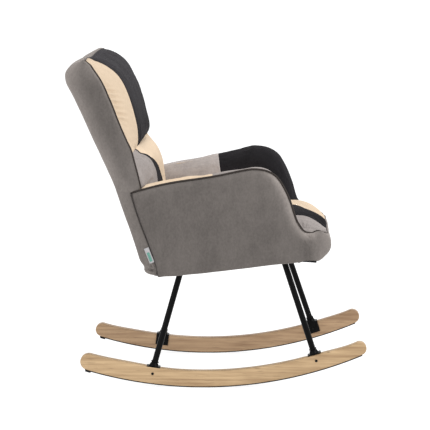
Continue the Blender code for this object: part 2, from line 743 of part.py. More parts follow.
def cord(name, points):
    """A round cord through these places, with closed ends."""
    curve = bpy.data.curves.new(name, "CURVE")
    curve.dimensions = "3D"
    curve.bevel_depth = PIPING_RADIUS
    curve.bevel_resolution = 1
    curve.use_fill_caps = True
    spline = curve.splines.new("POLY")
    spline.points.add(len(points) - 1)
    for place, point in zip(spline.points, points):
        place.co = (*point, 1)
    return add_object(name, curve, "piping")


def make_arm_piping(side):
    """The cord sewn along the arm's outer edge and round its nose."""
    line = clear_of(smooth_line(ARM_TOP + ARM_NOSE[1:] + ARM_TOE[1:], 2), PIPING_RADIUS + GAP)
    x = side * (OUTER_X - 0.011)
    cord("arm_piping_" + side_name(side), [(x, y, z) for y, z in line])


def make_back_piping():
    """The cord up one wing, over the top of the back and down the other wing."""
    line = clear_of(smooth_line(WING_FRONT[1:] + WING_LOW[1:], 2), PIPING_RADIUS + GAP)
    x = WING_OUTER_X - 0.009
    line = list(reversed(line)) + [Vector(p) for p in PIPING_TOP]
    up = [(x, y, z) for y, z in line]
    cord("back_piping", up + [(-x, y, z) for x, y, z in reversed(up)])


def clear_of(line, distance):
    """The line moved outwards, up and to the front, by this distance."""
    moved = []
    for index, point in enumerate(line):
        before = line[max(index - 1, 0)]
        after = line[min(index + 1, len(line) - 1)]
        run = after - before
        normal = Vector((run.y, -run.x)) / hypot(run.x, run.y)
        if normal.x > 0.5 or (normal.y < 0 and normal.x > 0):
            normal = -normal
        moved.append(point + normal * distance)
    return moved


def make_label():
    """A blank woven label, sewn into the rear seam of the right side."""
    place = Matrix.Translation((-WING_OUTER_X - 0.001, *LABEL_AT)) @ Matrix.Rotation(-LABEL_LEAN, 4, "X")
    box("side_label", LABEL_SIZE, "label", place)


def build():
    global chair, cutters
    clear_scene()
    chair = new_collection("rocking_chair")
    cutters = new_collection("cutters")
    for side in (-1, 1):
        drill_rocker(make_rocker(side), side)
        make_strip(side)
        make_stop_pad(side)
        for end in LEG_TOP_Y:
            make_leg(side, end)
            make_bracket(side, end)
            make_bolt(side, end)
            make_leg_plate(side, end)
            for turn in (-1, 1):
                make_screw(side, end, turn)
        make_arm(side)
        make_wing(side)
        make_arm_piping(side)
    make_seat_frame()
    make_back_frame()
    make_back_cover()
    make_back_piping()
    make_back_cushion()
    make_lumbar_cushion()
    make_seat_cushion()
    make_front_border()
    make_label()


build()
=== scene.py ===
"""The looks of the upholstered rocking chair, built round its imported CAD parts.

Metres, in the CAD frame: +Z up, the chair faces -Y and +X is the sitter's left. Outer and inner fabric
are grids of points: each grid is one cloth panel, from seam to seam.
"""

from math import asin, cos, pi, radians, sin

import bmesh
import bpy
import numpy as np
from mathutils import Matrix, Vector, noise


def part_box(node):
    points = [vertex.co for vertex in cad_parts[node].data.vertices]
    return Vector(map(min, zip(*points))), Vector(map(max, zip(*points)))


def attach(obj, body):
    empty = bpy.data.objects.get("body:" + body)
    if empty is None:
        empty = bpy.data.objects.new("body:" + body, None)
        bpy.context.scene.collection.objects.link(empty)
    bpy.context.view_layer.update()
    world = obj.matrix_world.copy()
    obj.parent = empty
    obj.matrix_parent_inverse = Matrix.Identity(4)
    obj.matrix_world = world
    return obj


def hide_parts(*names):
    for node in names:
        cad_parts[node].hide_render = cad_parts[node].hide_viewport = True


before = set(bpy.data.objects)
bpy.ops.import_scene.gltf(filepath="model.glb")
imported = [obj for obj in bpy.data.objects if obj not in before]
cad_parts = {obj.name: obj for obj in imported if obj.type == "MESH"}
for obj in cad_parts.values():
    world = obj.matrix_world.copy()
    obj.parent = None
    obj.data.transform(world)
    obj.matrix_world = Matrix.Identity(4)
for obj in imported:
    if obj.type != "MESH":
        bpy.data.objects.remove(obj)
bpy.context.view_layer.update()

# ---------------------------------------------------------------- measures

OUTER_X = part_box("side_cover_left")[1].x  # outside of the arms
PIPING_X = OUTER_X - 0.0115  # the cord along an arm's outer edge
PAD_X = 0.235  # inner face of an arm
WING_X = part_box("wing_left")[1].x
CUSHION_X = 0.303  # edge of the back cushion, under the wing's cord
RIDGE_X = 0.2  # seam between the back's centre and its wing panel
FRONT_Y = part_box("front_border")[0].y
CORNER = 0.063  # radius of the seat's front corners, seen from above
TOE_Y = FRONT_Y + CORNER  # where an arm's cord reaches the seat
CELL = 0.0055  # spacing of the points before a panel is refined
SEAM_Z = 0.4672  # the front seam's height beside the corners
TOP_Z = 0.9785  # the outer back's top edge
SIDES = (("right", -1), ("left", 1))

# Side outlines, (y, z). Each is a smooth curve through its points.
ARM_EDGE = [
    (0.25, 0.589), (0.144, 0.616), (0.011, 0.637), (-0.075, 0.655), (-0.112, 0.659),
    (-0.149, 0.652), (-0.179, 0.629), (-0.207, 0.578), (-0.229, 0.515),
    (-0.239, 0.4965), (-0.25, 0.4815), (-0.261, 0.4752), (-0.271, 0.4745),
]
SIDE_BOTTOM = [
    (-0.271, 0.388), (-0.212, 0.3845), (-0.1, 0.37), (0.08, 0.3485), (0.15, 0.3435), (0.172, 0.3415),
]
SIDE_REAR = [(0.172, 0.3415), (0.178, 0.376), (0.199, 0.44), (0.2275, 0.515), (0.25, 0.589)]
BORDER = [
    (-0.322, 0.467), (-0.3305, 0.454), (-0.334, 0.435), (-0.3325, 0.422), (-0.3255, 0.409),
    (-0.3115, 0.3965), (-0.3, 0.39),
]
BACK_REAR = [
    (0.394, 0.9795), (0.417, 0.966), (0.431, 0.948), (0.437, 0.93), (0.435, 0.908), (0.428, 0.891),
    (0.411, 0.858), (0.3735, 0.777), (0.3345, 0.696), (0.2945, 0.602), (0.2575, 0.497), (0.2315, 0.4145),
    (0.2225, 0.389), (0.211, 0.3715), (0.21, 0.36), (0.202, 0.3505), (0.186, 0.3465),
]
WING_EDGE = [
    (0.383, 0.9775), (0.371, 0.967), (0.358, 0.946), (0.341, 0.921), (0.328, 0.897), (0.316, 0.869),
    (0.303, 0.838), (0.29, 0.803), (0.276, 0.769), (0.263, 0.739), (0.251, 0.714), (0.241, 0.677),
    (0.231, 0.638), (0.224, 0.607), (0.2225, 0.5975),
]
RIDGE = [
    (0.383, 0.9785), (0.3648, 0.97), (0.346, 0.9625), (0.323, 0.949), (0.3, 0.9285), (0.282, 0.904),
    (0.2677, 0.8742), (0.2555, 0.8389), (0.2457, 0.8035), (0.2385, 0.768), (0.2372, 0.732), (0.244, 0.7),
]
FULL_MIDDLE = [
    (0.381, 0.98), (0.362, 0.9805), (0.331, 0.968), (0.301, 0.9435), (0.2805, 0.9115), (0.264, 0.877),
    (0.251, 0.838), (0.239, 0.792), (0.231, 0.758), (0.2285, 0.735), (0.236, 0.714), (0.246, 0.704),
]
LUMBAR_MIDDLE = [
    (0.243, 0.713), (0.225, 0.717), (0.2065, 0.708), (0.1945, 0.6915), (0.187, 0.671), (0.1825, 0.653),
    (0.18, 0.63), (0.176, 0.597), (0.17, 0.56), (0.17, 0.5),
]
LUMBAR_SIDE = [
    (0.243, 0.718), (0.232, 0.712), (0.219, 0.7), (0.206, 0.686), (0.196, 0.67), (0.189, 0.65),
    (0.184, 0.63), (0.18, 0.6), (0.176, 0.56), (0.174, 0.5),
]
LUMBAR_END = [
    (0.251, 0.714), (0.2455, 0.699), (0.242, 0.682), (0.238, 0.661), (0.233, 0.64), (0.228, 0.617),
    (0.226, 0.59), (0.224, 0.56), (0.222, 0.53), (0.22, 0.5),
]
SEAT_MIDDLE = [
    (0.18, 0.48), (0.1, 0.496), (0.0, 0.509), (-0.1, 0.517), (-0.18, 0.5215), (-0.25, 0.522),
    (-0.322, 0.5225),
]
SEAT_SIDES = (-0.17, -0.04, 0.15)  # seams of the seat from right to left
BACK_SPLIT = 0.012  # Y of the seam across each arm's inner pad
REAR_FOOT = SIDE_REAR[0][0]
TOP_DIP = 0.0065  # how far the back's top edge sinks beside its right corner
ARM_SETTLE = 0.0068  # how much lower the left arm's rear end sits than the right one's


# ---------------------------------------------------------------- materials


def configured(thing, **settings):
    """The thing itself, with these settings."""
    for key, value in settings.items():
        setattr(thing, key, value)
    return thing


def new_material(name, colour, roughness, **sockets):
    """A Principled material. Sockets are set on the shader itself."""
    made = configured(bpy.data.materials.new(name), use_nodes=True, diffuse_color=(*colour, 1))
    shader = made.node_tree.nodes["Principled BSDF"]
    sockets.update(Base_Color=(*colour, 1), Roughness=roughness)
    for label, value in sockets.items():
        shader.inputs[label.replace("_", " ")].default_value = value
    return made, made.node_tree, shader


def add_node(tree, kind, links=None, inputs=None, **settings):
    """A node with its settings, its input values and its links, {input: output socket}."""
    node = configured(tree.nodes.new("ShaderNode" + kind), **settings)
    for key, value in (inputs or {}).items():
        node.inputs[key].default_value = value
    for key, socket in (links or {}).items():
        tree.links.new(socket, node.inputs[key])
    return node


def pattern(tree, scale, size, detail=2.0, roughness=0.5, distortion=0.0):
    """Noise over the object, stretched by scale. The output is its value from 0 to 1."""
    place = add_node(tree, "TexCoord").outputs["Object"]
    stretch = add_node(tree, "Mapping", {"Vector": place}, {"Scale": scale})
    shape = {"Scale": size, "Detail": detail, "Roughness": roughness, "Distortion": distortion}
    return add_node(tree, "TexNoise", {"Vector": stretch.outputs["Vector"]}, shape).outputs["Fac"]


def waves(tree, direction, pitch):
    """Fine parallel threads across one axis, as a value from 0 to 1."""
    place = add_node(tree, "TexCoord").outputs["Object"]
    shape = {"Scale": 1 / pitch / 3.2, "Distortion": 0.6}
    return add_node(tree, "TexWave", {"Vector": place}, shape, bands_direction=direction).outputs["Fac"]


def maths(tree, operation, first, second):
    """Two values added up or multiplied. Each is a number or an output socket."""
    node = add_node(tree, "Math", operation=operation)
    for place, value in enumerate((first, second)):
        if isinstance(value, (int, float)):
            node.inputs[place].default_value = value
        else:
            tree.links.new(value, node.inputs[place])
    return node.outputs[0]


def weighted(tree, *parts):
    """The sum of some output sockets, each given with its weight."""
    total = 0.0
    for value, weight in parts:
        total = maths(tree, "ADD", total, maths(tree, "MULTIPLY", value, weight))
    return total


def ramp(tree, fac, stops):
    """Colours along a value. Stops are (position, colour)."""
    node = add_node(tree, "ValToRGB", {"Fac": fac})
    while len(node.color_ramp.elements) < len(stops):
        node.color_ramp.elements.new(0.5)
    for element, (position, colour) in zip(node.color_ramp.elements, stops):
        element.position = position
        element.color = (*colour, 1)
    return node.outputs["Color"]


def scaled(colour, factor):
    return tuple(min(channel * factor, 1.0) for channel in colour)


def bump(tree, shader, height, distance):
    node = add_node(tree, "Bump", {"Height": height}, {"Distance": distance, "Strength": 1.0})
    tree.links.new(node.outputs["Normal"], shader.inputs["Normal"])


def velvet(name, colour, sheen, depth, gloss=0.14):
    """Short-pile fabric: brushed patches of nap, a fine weave under it and a soft sheen at grazing angles.

    A mesh may hold a point attribute of painted light and shade, read below: how much lighter (painted sheen
    and highlights) and darker (painted shade) its colour is made there, 0 for neither.
    """
    made, tree, shader = new_material(
        name, colour, 0.86, Sheen_Weight=sheen, Sheen_Roughness=0.38, Specular_IOR_Level=gloss,
        Sheen_Tint=(*scaled(colour, 1.0 / max(colour) * 0.95), 1),
    )
    patches = pattern(tree, (1, 1, 0.6), 7.0, 3.0, 0.55, 0.4)
    strokes = pattern(tree, (1, 1, 0.5), 48.0, 3.0)
    specks = pattern(tree, (1, 1, 0.7), 190.0, 2.0, 0.6)
    grain = pattern(tree, (1, 1, 1), 620.0, 2.0, 0.6)
    tone = weighted(tree, (patches, 0.38), (strokes, 0.2), (specks, 0.3), (grain, 0.12))
    dark, light = scaled(colour, 1 - depth), scaled(colour, 1 + depth)
    colours = ramp(tree, tone, [(0.32, dark), (0.5, colour), (0.68, light)])
    # Painted light and shade from the mesh: the colour is scaled by one plus this value.
    painted_light = add_node(tree, "Attribute", attribute_name="painted_light").outputs["Fac"]
    painted_shading = maths(tree, "ADD", painted_light, 1.0)
    painted_light_colours = add_node(tree, "VectorMath", {0: colours, "Scale": painted_shading}, operation="SCALE")
    tree.links.new(painted_light_colours.outputs["Vector"], shader.inputs["Base Color"])
    threads = [(waves(tree, axis, 0.0011), 0.35) for axis in "XYZ"]
    bump(tree, shader, weighted(tree, *threads, (grain, 1.0)), 0.00012)
    return made


def wood(name, light, dark, roughness=0.48, size=1.0):
    """Straight-grained wood that runs along Y: broad figure, fine growth lines and dark open pores."""
    made, tree, shader = new_material(name, light, roughness, Specular_IOR_Level=0.4)
    figure = pattern(tree, (1.5, 0.35, 2.2), 5.0 * size, 3.0, 0.5, 1.2)
    lines = pattern(tree, (14, 0.55, 14), 9.0 * size, 3.0, 0.6, 0.5)
    pores = pattern(tree, (22, 0.9, 22), 22.0 * size, 2.0, 0.5)
    middle = tuple((a + b) / 2 for a, b in zip(light, dark))
    tone = weighted(tree, (figure, 0.5), (lines, 0.5))
    colours = ramp(tree, tone, [(0.36, dark), (0.5, middle), (0.64, light)])
    marks = ramp(tree, pores, [(0.27, scaled(dark, 0.62)), (0.36, (1, 1, 1))])
    mix = add_node(tree, "Mix", {"A": colours, "B": marks}, {"Factor": 0.55},
                   data_type="RGBA", blend_type="MULTIPLY")
    tree.links.new(mix.outputs["Result"], shader.inputs["Base Color"])
    bump(tree, shader, weighted(tree, (lines, 1.0), (pores, 1.0)), 0.00025)
    return made


def steel(name, colour, roughness, metallic=0.0):
    """Powder-coated steel: a fine orange peel and slightly uneven gloss."""
    made, tree, shader = new_material(name, colour, roughness, Metallic=metallic, Specular_IOR_Level=0.08)
    peel = pattern(tree, (1, 1, 1), 900.0, 2.0)
    wear = pattern(tree, (1, 1, 1), 26.0, 4.0, 0.6)
    limits = {"To Min": roughness - 0.08, "To Max": roughness + 0.1}
    gloss = add_node(tree, "MapRange", {"Value": wear}, limits)
    tree.links.new(gloss.outputs["Result"], shader.inputs["Roughness"])
    bump(tree, shader, peel, 0.00006)
    return made


def coarse(name, colour, pitch, roughness=0.9):
    """Woven or pressed sheet: threads both ways and some dust in the weave."""
    made, tree, shader = new_material(name, colour, roughness, Specular_IOR_Level=0.2)
    threads = maths(tree, "MULTIPLY", waves(tree, "X", pitch), waves(tree, "Y", pitch))
    tone = weighted(tree, (threads, 0.6), (pattern(tree, (1, 1, 1), 30.0, 3.0), 0.4))
    colours = ramp(tree, tone, [(0.2, scaled(colour, 0.75)), (0.8, scaled(colour, 1.35))])
    tree.links.new(colours, shader.inputs["Base Color"])
    bump(tree, shader, threads, pitch * 0.15)
    return made


GREY = velvet("grey_velvet", (0.11, 0.098, 0.091), 0.2, 0.28)
LIGHT_GREY = velvet("light_grey_velvet", (0.257, 0.231, 0.22), 0.18, 0.28)
CREAM = velvet("cream_velvet", (0.575, 0.455, 0.332), 0.1, 0.09)
CHARCOAL = velvet("charcoal_velvet", (0.017, 0.016, 0.0175), 0.03, 0.32, gloss=0.03)
PIPING = velvet("piping_cloth", (0.035, 0.029, 0.026), 0.08, 0.12)
NEAR_OAK = wood("near_rocker_oak", (0.54, 0.38, 0.214), (0.245, 0.145, 0.068))
# The far rocker: browner oak, and darker than the near rocker's as painted shade.
FAR_OAK = wood("far_rocker_oak", (0.43, 0.285, 0.165), (0.2, 0.112, 0.056))
PINE = wood("frame_pine", (0.7, 0.54, 0.34), (0.54, 0.37, 0.19), 0.65, 0.8)
PLYWOOD = wood("panel_plywood", (0.66, 0.5, 0.32), (0.52, 0.37, 0.21), 0.7, 0.5)
BLACK_STEEL = steel("black_steel", (0.0018, 0.0018, 0.002), 0.3)
BOLT_STEEL = steel("bolt_steel", (0.012, 0.012, 0.012), 0.3, 0.6)
RUBBER = coarse("black_rubber", (0.012, 0.012, 0.013), 0.002, 0.75)
DUST_CLOTH = coarse("dust_cloth", (0.01, 0.01, 0.011), 0.0016)
WEBBING = coarse("webbing", (0.04, 0.04, 0.042), 0.0028)
LABEL = coarse("label_ribbon", (0.42, 0.41, 0.42), 0.0007, 0.7)
LABEL_BAND = coarse("label_band", (0.13, 0.3, 0.25), 0.0007, 0.7)
THREAD = velvet("seam_thread", (0.045, 0.04, 0.038), 0.1, 0.1)


# ---------------------------------------------------------------- curves and grids


def smooth_line(points, steps=12):
    """Points along a Catmull-Rom curve that passes through all the given ones."""
    ends = np.array(points, float)
    ends = np.vstack([2 * ends[0] - ends[1], ends, 2 * ends[-1] - ends[-2]])
    t = np.linspace(0, 1, steps, endpoint=False)[:, None]
    line = [
        0.5 * (2 * b + (c - a) * t + (2 * a - 5 * b + 4 * c - d) * t**2 + (3 * b - a - 3 * c + d) * t**3)
        for a, b, c, d in zip(ends, ends[1:], ends[2:], ends[3:])
    ]
    return np.vstack(line + [ends[-2][None]])


def spaced(line, count):
    """The same line as this many points at equal distances."""
    steps = np.linalg.norm(np.diff(line, axis=0), axis=1)
    run = np.concatenate([[0], np.cumsum(steps)])
    wanted = np.linspace(0, run[-1], count)
    return np.stack([np.interp(wanted, run, line[:, axis]) for axis in range(line.shape[1])], 1)


def curve_at(points, share):
    """The place at this share, 0 to 1, of a smooth curve's length. Share is an array."""
    line = spaced(smooth_line(points), 400)
    places = np.linspace(0, 1, len(line))
    return np.stack([np.interp(share, places, line[:, axis]) for axis in range(2)], -1)


def left_of(line):
    """Unit normals on the left of a line of (y, z) points."""
    run = np.gradient(line, axis=0)
    run /= np.linalg.norm(run, axis=1)[:, None]
    return np.stack([-run[:, 1], run[:, 0]], 1)


def distance_to(line, points):
    """Each point's distance to the nearest point of a line, in Y and Z."""
    dense = spaced(line, 500)
    gaps = np.linalg.norm(points.reshape(-1, 1, 2) - dense[None], axis=2)
    return gaps.min(1).reshape(points.shape[:-1])


def rolled(distance, radius):
    """How far a rounded edge has fallen away, 1 at the edge and 0 from the radius on."""
    t = np.clip(1 - distance / radius, 0, 1)
    return 1 - np.sqrt(1 - t**2)


def eased(low, high, value):
    t = np.clip((value - low) / (high - low), 0, 1)
    return t * t * (3 - 2 * t)


def clustered(count, pull=0.5):
    """Shares from 0 to 1 that lie closer together at both ends."""
    t = np.linspace(0, 1, count)
    return t * (1 - pull) + pull * (1 - np.cos(pi * t)) / 2


def at_x(x, line):
    """The places of a line of (y, z) points at this X, which is one number or one for each point."""
    return np.column_stack([np.broadcast_to(x, len(line)), line])


def both_sides(half, signs=1.0):
    """A half that runs from the right side to the middle, and its mirror image after it."""
    return np.concatenate([half, half[-2::-1] * signs])


def lowered(spots, drop):
    return spots - drop[..., None] * (0, 0, 1)


def normals_of(spots):
    normal = np.cross(np.gradient(spots, axis=0), np.gradient(spots, axis=1))
    return normal / np.maximum(np.linalg.norm(normal, axis=2), 1e-12)[:, :, None]


def finer(spots):
    """Twice as many points each way, on the smooth surface through the given ones."""
    for _ in range(2):
        padded = np.concatenate([2 * spots[:1] - spots[1:2], spots, 2 * spots[-1:] - spots[-2:-1]])
        middle = (9 * (padded[1:-2] + padded[2:-1]) - padded[:-3] - padded[3:]) / 16
        both = np.empty((2 * len(spots) - 1, *spots.shape[1:]))
        both[::2] = spots
        both[1::2] = middle
        spots = both.transpose(1, 0, 2)
    return spots


def blurred(values, passes):
    for _ in range(passes):
        for axis in (0, 1):
            before = np.roll(values, 1, axis)
            after = np.roll(values, -1, axis)
            edge = [slice(None)] * values.ndim
            edge[axis] = slice(1, -1)
            values[tuple(edge)] = ((before + after + 2 * values) / 4)[tuple(edge)]
    return values


def grid_object(name, spots, finish, slot, wrap=False, painted_light=None):
    """A mesh of quads through a grid of places, shaded smooth, that rides with the chair."""
    rows, columns = spots.shape[:2]
    index = np.arange(rows * columns).reshape(rows, columns)
    if wrap:
        index = np.concatenate([index, index[:, :1]], axis=1)
    quads = np.stack([index[:-1, :-1], index[1:, :-1], index[1:, 1:], index[:-1, 1:]], -1).reshape(-1, 4)
    data = bpy.data.meshes.new(name)
    data.from_pydata(spots.reshape(-1, 3).tolist(), [], quads.tolist())
    # Stores the painted light and shade for the velvet shader.
    if painted_light is not None:
        data.attributes.new("painted_light", "FLOAT", "POINT").data.foreach_set("value", painted_light.astype(np.float32).ravel())
    return finished(name, data, finish, slot)


def placed(name, data, slot=None):
    """A new object. One with a slot is a piece of the chair and rides with it."""
    piece = bpy.data.objects.new(name, data)
    bpy.context.scene.collection.objects.link(piece)
    if slot:
        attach(piece, "root")
    return piece


def finished(name, data, finish, slot):
    data.materials.append(finish)
    data.shade_smooth()
    return placed(name, data, slot)


def bmesh_object(name, shape, finish, slot):
    bmesh.ops.recalc_face_normals(shape, faces=shape.faces)
    data = bpy.data.meshes.new(name)
    shape.to_mesh(data)
    shape.free()
    return finished(name, data, finish, slot)


def thickened(piece, thickness):
    """Gives a panel its thickness, behind the surface that shows."""
    configured(piece.modifiers.new("thickness", "SOLIDIFY"), thickness=thickness, offset=-1)
    return piece


def soft_piece(name, spots, finish, slot, painted_light, thickness):
    """A padded panel of fabric."""
    piece = thickened(grid_object(name, spots, finish, slot, painted_light=painted_light), thickness)
    return piece


def ruffled(spots, amount, size, seed):
    """The surface made a little uneven, as stuffed fabric is. The grid's edge stays in place."""
    offsets = Vector((seed, 2.3 * seed, 0.7 * seed))
    flat = spots.reshape(-1, 3)
    lift = np.array([noise.noise(Vector(p) / size + offsets) for p in flat]).reshape(spots.shape[:2])
    rows, columns = lift.shape
    u = np.minimum(np.arange(rows), np.arange(rows)[::-1])[:, None]
    v = np.minimum(np.arange(columns), np.arange(columns)[::-1])[None]
    fade = np.clip(np.minimum(u, v) / 6, 0, 1)
    return spots + normals_of(spots) * (lift * fade * amount)[:, :, None]


def creased(spots, start, end, width, depth):
    """A crease pressed into the surface between two places, with a soft fold on each side."""
    a, b = np.array(start), np.array(end)
    run = b - a
    along = np.clip(((spots - a) @ run) / (run @ run), 0, 1)
    gap = np.linalg.norm(spots - (a + along[..., None] * run), axis=2)
    inside = np.exp(-((gap / width) ** 2))
    beside = np.exp(-(((gap - 1.9 * width) / width) ** 2))
    fade = np.sin(pi * np.clip(along * 0.92 + 0.04, 0, 1)) ** 0.6
    return spots - normals_of(spots) * (depth * (inside - 0.45 * beside) * fade)[..., None]


# ---------------------------------------------------------------- cloth

CLOTH_FRAMES = 16  # how long each simulation runs


def inflated(spots, rise, surplus=0.012, keep=0.8):
    """Fabric pinned along its seams and blown up by a cloth simulation.

    Its broad swelling is scaled to the given rise, and a share keep of its small wrinkles stays.
    """
    rows, columns = spots.shape[:2]
    piece = grid_object("inflating", spots, CREAM, None)
    index = np.arange(rows * columns).reshape(rows, columns)
    edge = np.unique(np.concatenate([index[0], index[-1], index[:, 0], index[:, -1]]))
    piece.vertex_groups.new(name="seams").add(edge.tolist(), 1.0, "REPLACE")
    cloth = piece.modifiers.new("cloth", "CLOTH")
    cloth.settings.effector_weights.gravity = 0
    configured(
        cloth.settings, quality=5, mass=0.2, vertex_group_mass="seams", use_pressure=True,
        uniform_pressure_force=5.0, shrink_min=-surplus, tension_stiffness=12,
        compression_stiffness=12, shear_stiffness=4, bending_stiffness=0.15,
    )
    cloth.point_cache.frame_start = 1
    cloth.point_cache.frame_end = CLOTH_FRAMES
    for number in range(1, CLOTH_FRAMES + 1):
        bpy.context.scene.frame_set(number)
    blown = piece.evaluated_get(bpy.context.evaluated_depsgraph_get()).data
    places = np.empty(len(blown.vertices) * 3)
    blown.vertices.foreach_get("co", places)
    bpy.data.objects.remove(piece, do_unlink=True)
    bpy.context.scene.frame_set(1)
    moved = places.reshape(spots.shape) - spots
    broad = blurred(moved.copy(), 14)
    most = np.linalg.norm(broad, axis=2).max()
    small = moved - broad
    size = np.linalg.norm(small, axis=2)
    limit = 0.35 * rise
    small *= np.minimum(1, limit / np.maximum(size, 1e-9))[..., None]
    return spots + broad * min(1.0, rise / max(most, 1e-9)) + keep * small


def panel(name, surface, length, low, high, rise, finish, slot, fill, replaces=(), touch=(), rim=0.0,
          painted_shading=(0.0, 0.0), **cloth):
    """One cloth panel of a cushion between two seams. Each is one X, or a function that gives X for each row.

    Touch holds its creases. Its colour is painted lighter by the share rim along its two seams, a painted
    highlight on their rounded edges, and lighter or darker by a painted shade that runs from its first row's
    value to its last row's.
    """
    share = np.linspace(0, 1, int(length / CELL))
    x_low, x_high = (seam(share) if callable(seam) else np.full_like(share, seam) for seam in (low, high))
    columns = int(np.abs(x_high - x_low).max() / CELL) + 3
    t = np.linspace(0, 1, columns)
    x = x_low[:, None] * (1 - t) + x_high[:, None] * t
    spots = surface(x, np.broadcast_to(share[:, None], x.shape))
    spots = ruffled(finer(inflated(spots, rise, **cloth)), 0.0012, 0.055, 3.1 + 7 * x_low[0])
    for crease in touch:
        spots = creased(spots, *crease)
    edge = np.abs(np.linspace(-1, 1, spots.shape[1]))[None] ** 12
    # Painted light: a painted highlight along the seams and a painted shade from the first row to the last.
    painted_light = rim * edge + np.linspace(*painted_shading, len(spots))[:, None]
    piece = soft_piece(name, spots, finish, slot, painted_light, 0.007)
    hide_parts(*replaces)


def slanted_seam(top, bottom, start, end, power):
    return lambda share: top + (bottom - top) * np.clip((share - start) / (end - start), 0, 1) ** power


# ---------------------------------------------------------------- outer cover


def seat_bottom(y):
    """Height of the seat frame's underside, a plane that falls towards the back."""
    low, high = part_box("dust_cover")
    return np.interp(y, [low.y, high.y], [high.z, low.z])


def cover_stations():
    """Down one side, round the front corner and to the middle of the front, from the rear seam on.

    Gives the plan position, the outward direction, the top height, the bottom height and the share
    of front border, each as an array.
    """
    arm = spaced(smooth_line(ARM_EDGE), 190)
    lower = np.vstack([smooth_line(SIDE_BOTTOM), smooth_line(SIDE_REAR)[1:]])
    side_low = np.interp(arm[:, 0], lower[:, 0], lower[:, 1])
    turns = np.linspace(0, pi / 2, 18)[1:]
    share = np.linspace(0, 1, 46)[1:]
    round_corner, turning = corner_arc(turns, CORNER)
    along = np.column_stack([(OUTER_X - CORNER) * (share - 1), np.full(len(share), FRONT_Y)])
    plan = np.vstack([at_x(-OUTER_X, arm)[:, :2], round_corner, along])
    out = np.vstack([np.tile((-1, 0), (len(arm), 1)), turning, np.tile((0, -1), (len(share), 1))])
    front = np.concatenate([np.zeros(len(arm)), np.sin(turns) ** 2, np.ones(len(share))])
    top = np.concatenate([arm[:, 1], seam_height(np.sin(turns)), front_seam(share)])
    low = np.concatenate([side_low, 0.388 + 0.002 * np.sin(turns), np.full(len(share), 0.39)])
    return plan, out, top, low, front


def corner_arc(turns, radius):
    """Plan places round the seat's right front corner, and the outward direction at each."""
    out = np.stack([-np.cos(turns), -np.sin(turns)], 1)
    return (CORNER - OUTER_X, TOE_Y) + radius * out, out


def seam_height(share):
    """The front seam's height round a corner: it dips, rises and falls again as the padding pulls it."""
    return 0.474 + 0.0068 * np.sin(pi * np.clip(share * 1.15, 0, 1)) ** 2 - 0.0068 * share**4


def front_seam(share):
    """The front seam's height from a corner to the middle."""
    return SEAM_Z - 0.0015 * np.sin(pi / 2 * share)


def settled(spots):
    """Lowers the left arm's top towards its rear end, its toe and the seat's left front corner."""
    x, y, z = spots[..., 0], spots[..., 1], spots[..., 2]
    drop = ARM_SETTLE * (0.5 * eased(-0.095, -0.045, y) + 0.5 * eased(0.02, 0.1, y)) * eased(0.5, 0.6, z)
    drop = drop + 0.006 * eased(-0.218, -0.236, y) * eased(0.46, 0.475, z) * eased(-0.3, -0.262, y)
    drop = drop * (x > 0.2) + 0.017 * eased(-0.22, -0.29, y) * eased(0.44, 0.468, z) * eased(0.08, 0.2, x)
    return lowered(spots, drop)


def drawn_up(y):
    """Where the border's lower edge is pulled up beside the corners, from 0 to 1."""
    return eased(-0.244, -0.254, y) * eased(-0.292, -0.28, y)


def cover_painted_light(y, z, depth, front, to_top, to_low):
    """Painted light on the cover: painted sheen on the border, along the arm's top edge and nose and along
    the bottom edge, and painted shade in the toe's crease.
    """
    nose = eased(-0.12, -0.175, y) * (1 - front)
    painted_light = (0.14 + 1.05 * nose) * np.exp(-((to_top / 0.017) ** 2)) + 0.16 * nose * np.exp(-to_top / 0.05)
    painted_light += front**0.6 * (0.7 + 0.32 * np.exp(-depth / 0.02)) + 0.15 * np.exp(-to_low / 0.006)
    return painted_light - 0.1 * np.exp(-(((y + 0.258) / 0.008) ** 2)) * eased(0.47, 0.45, z) * (1 - front)


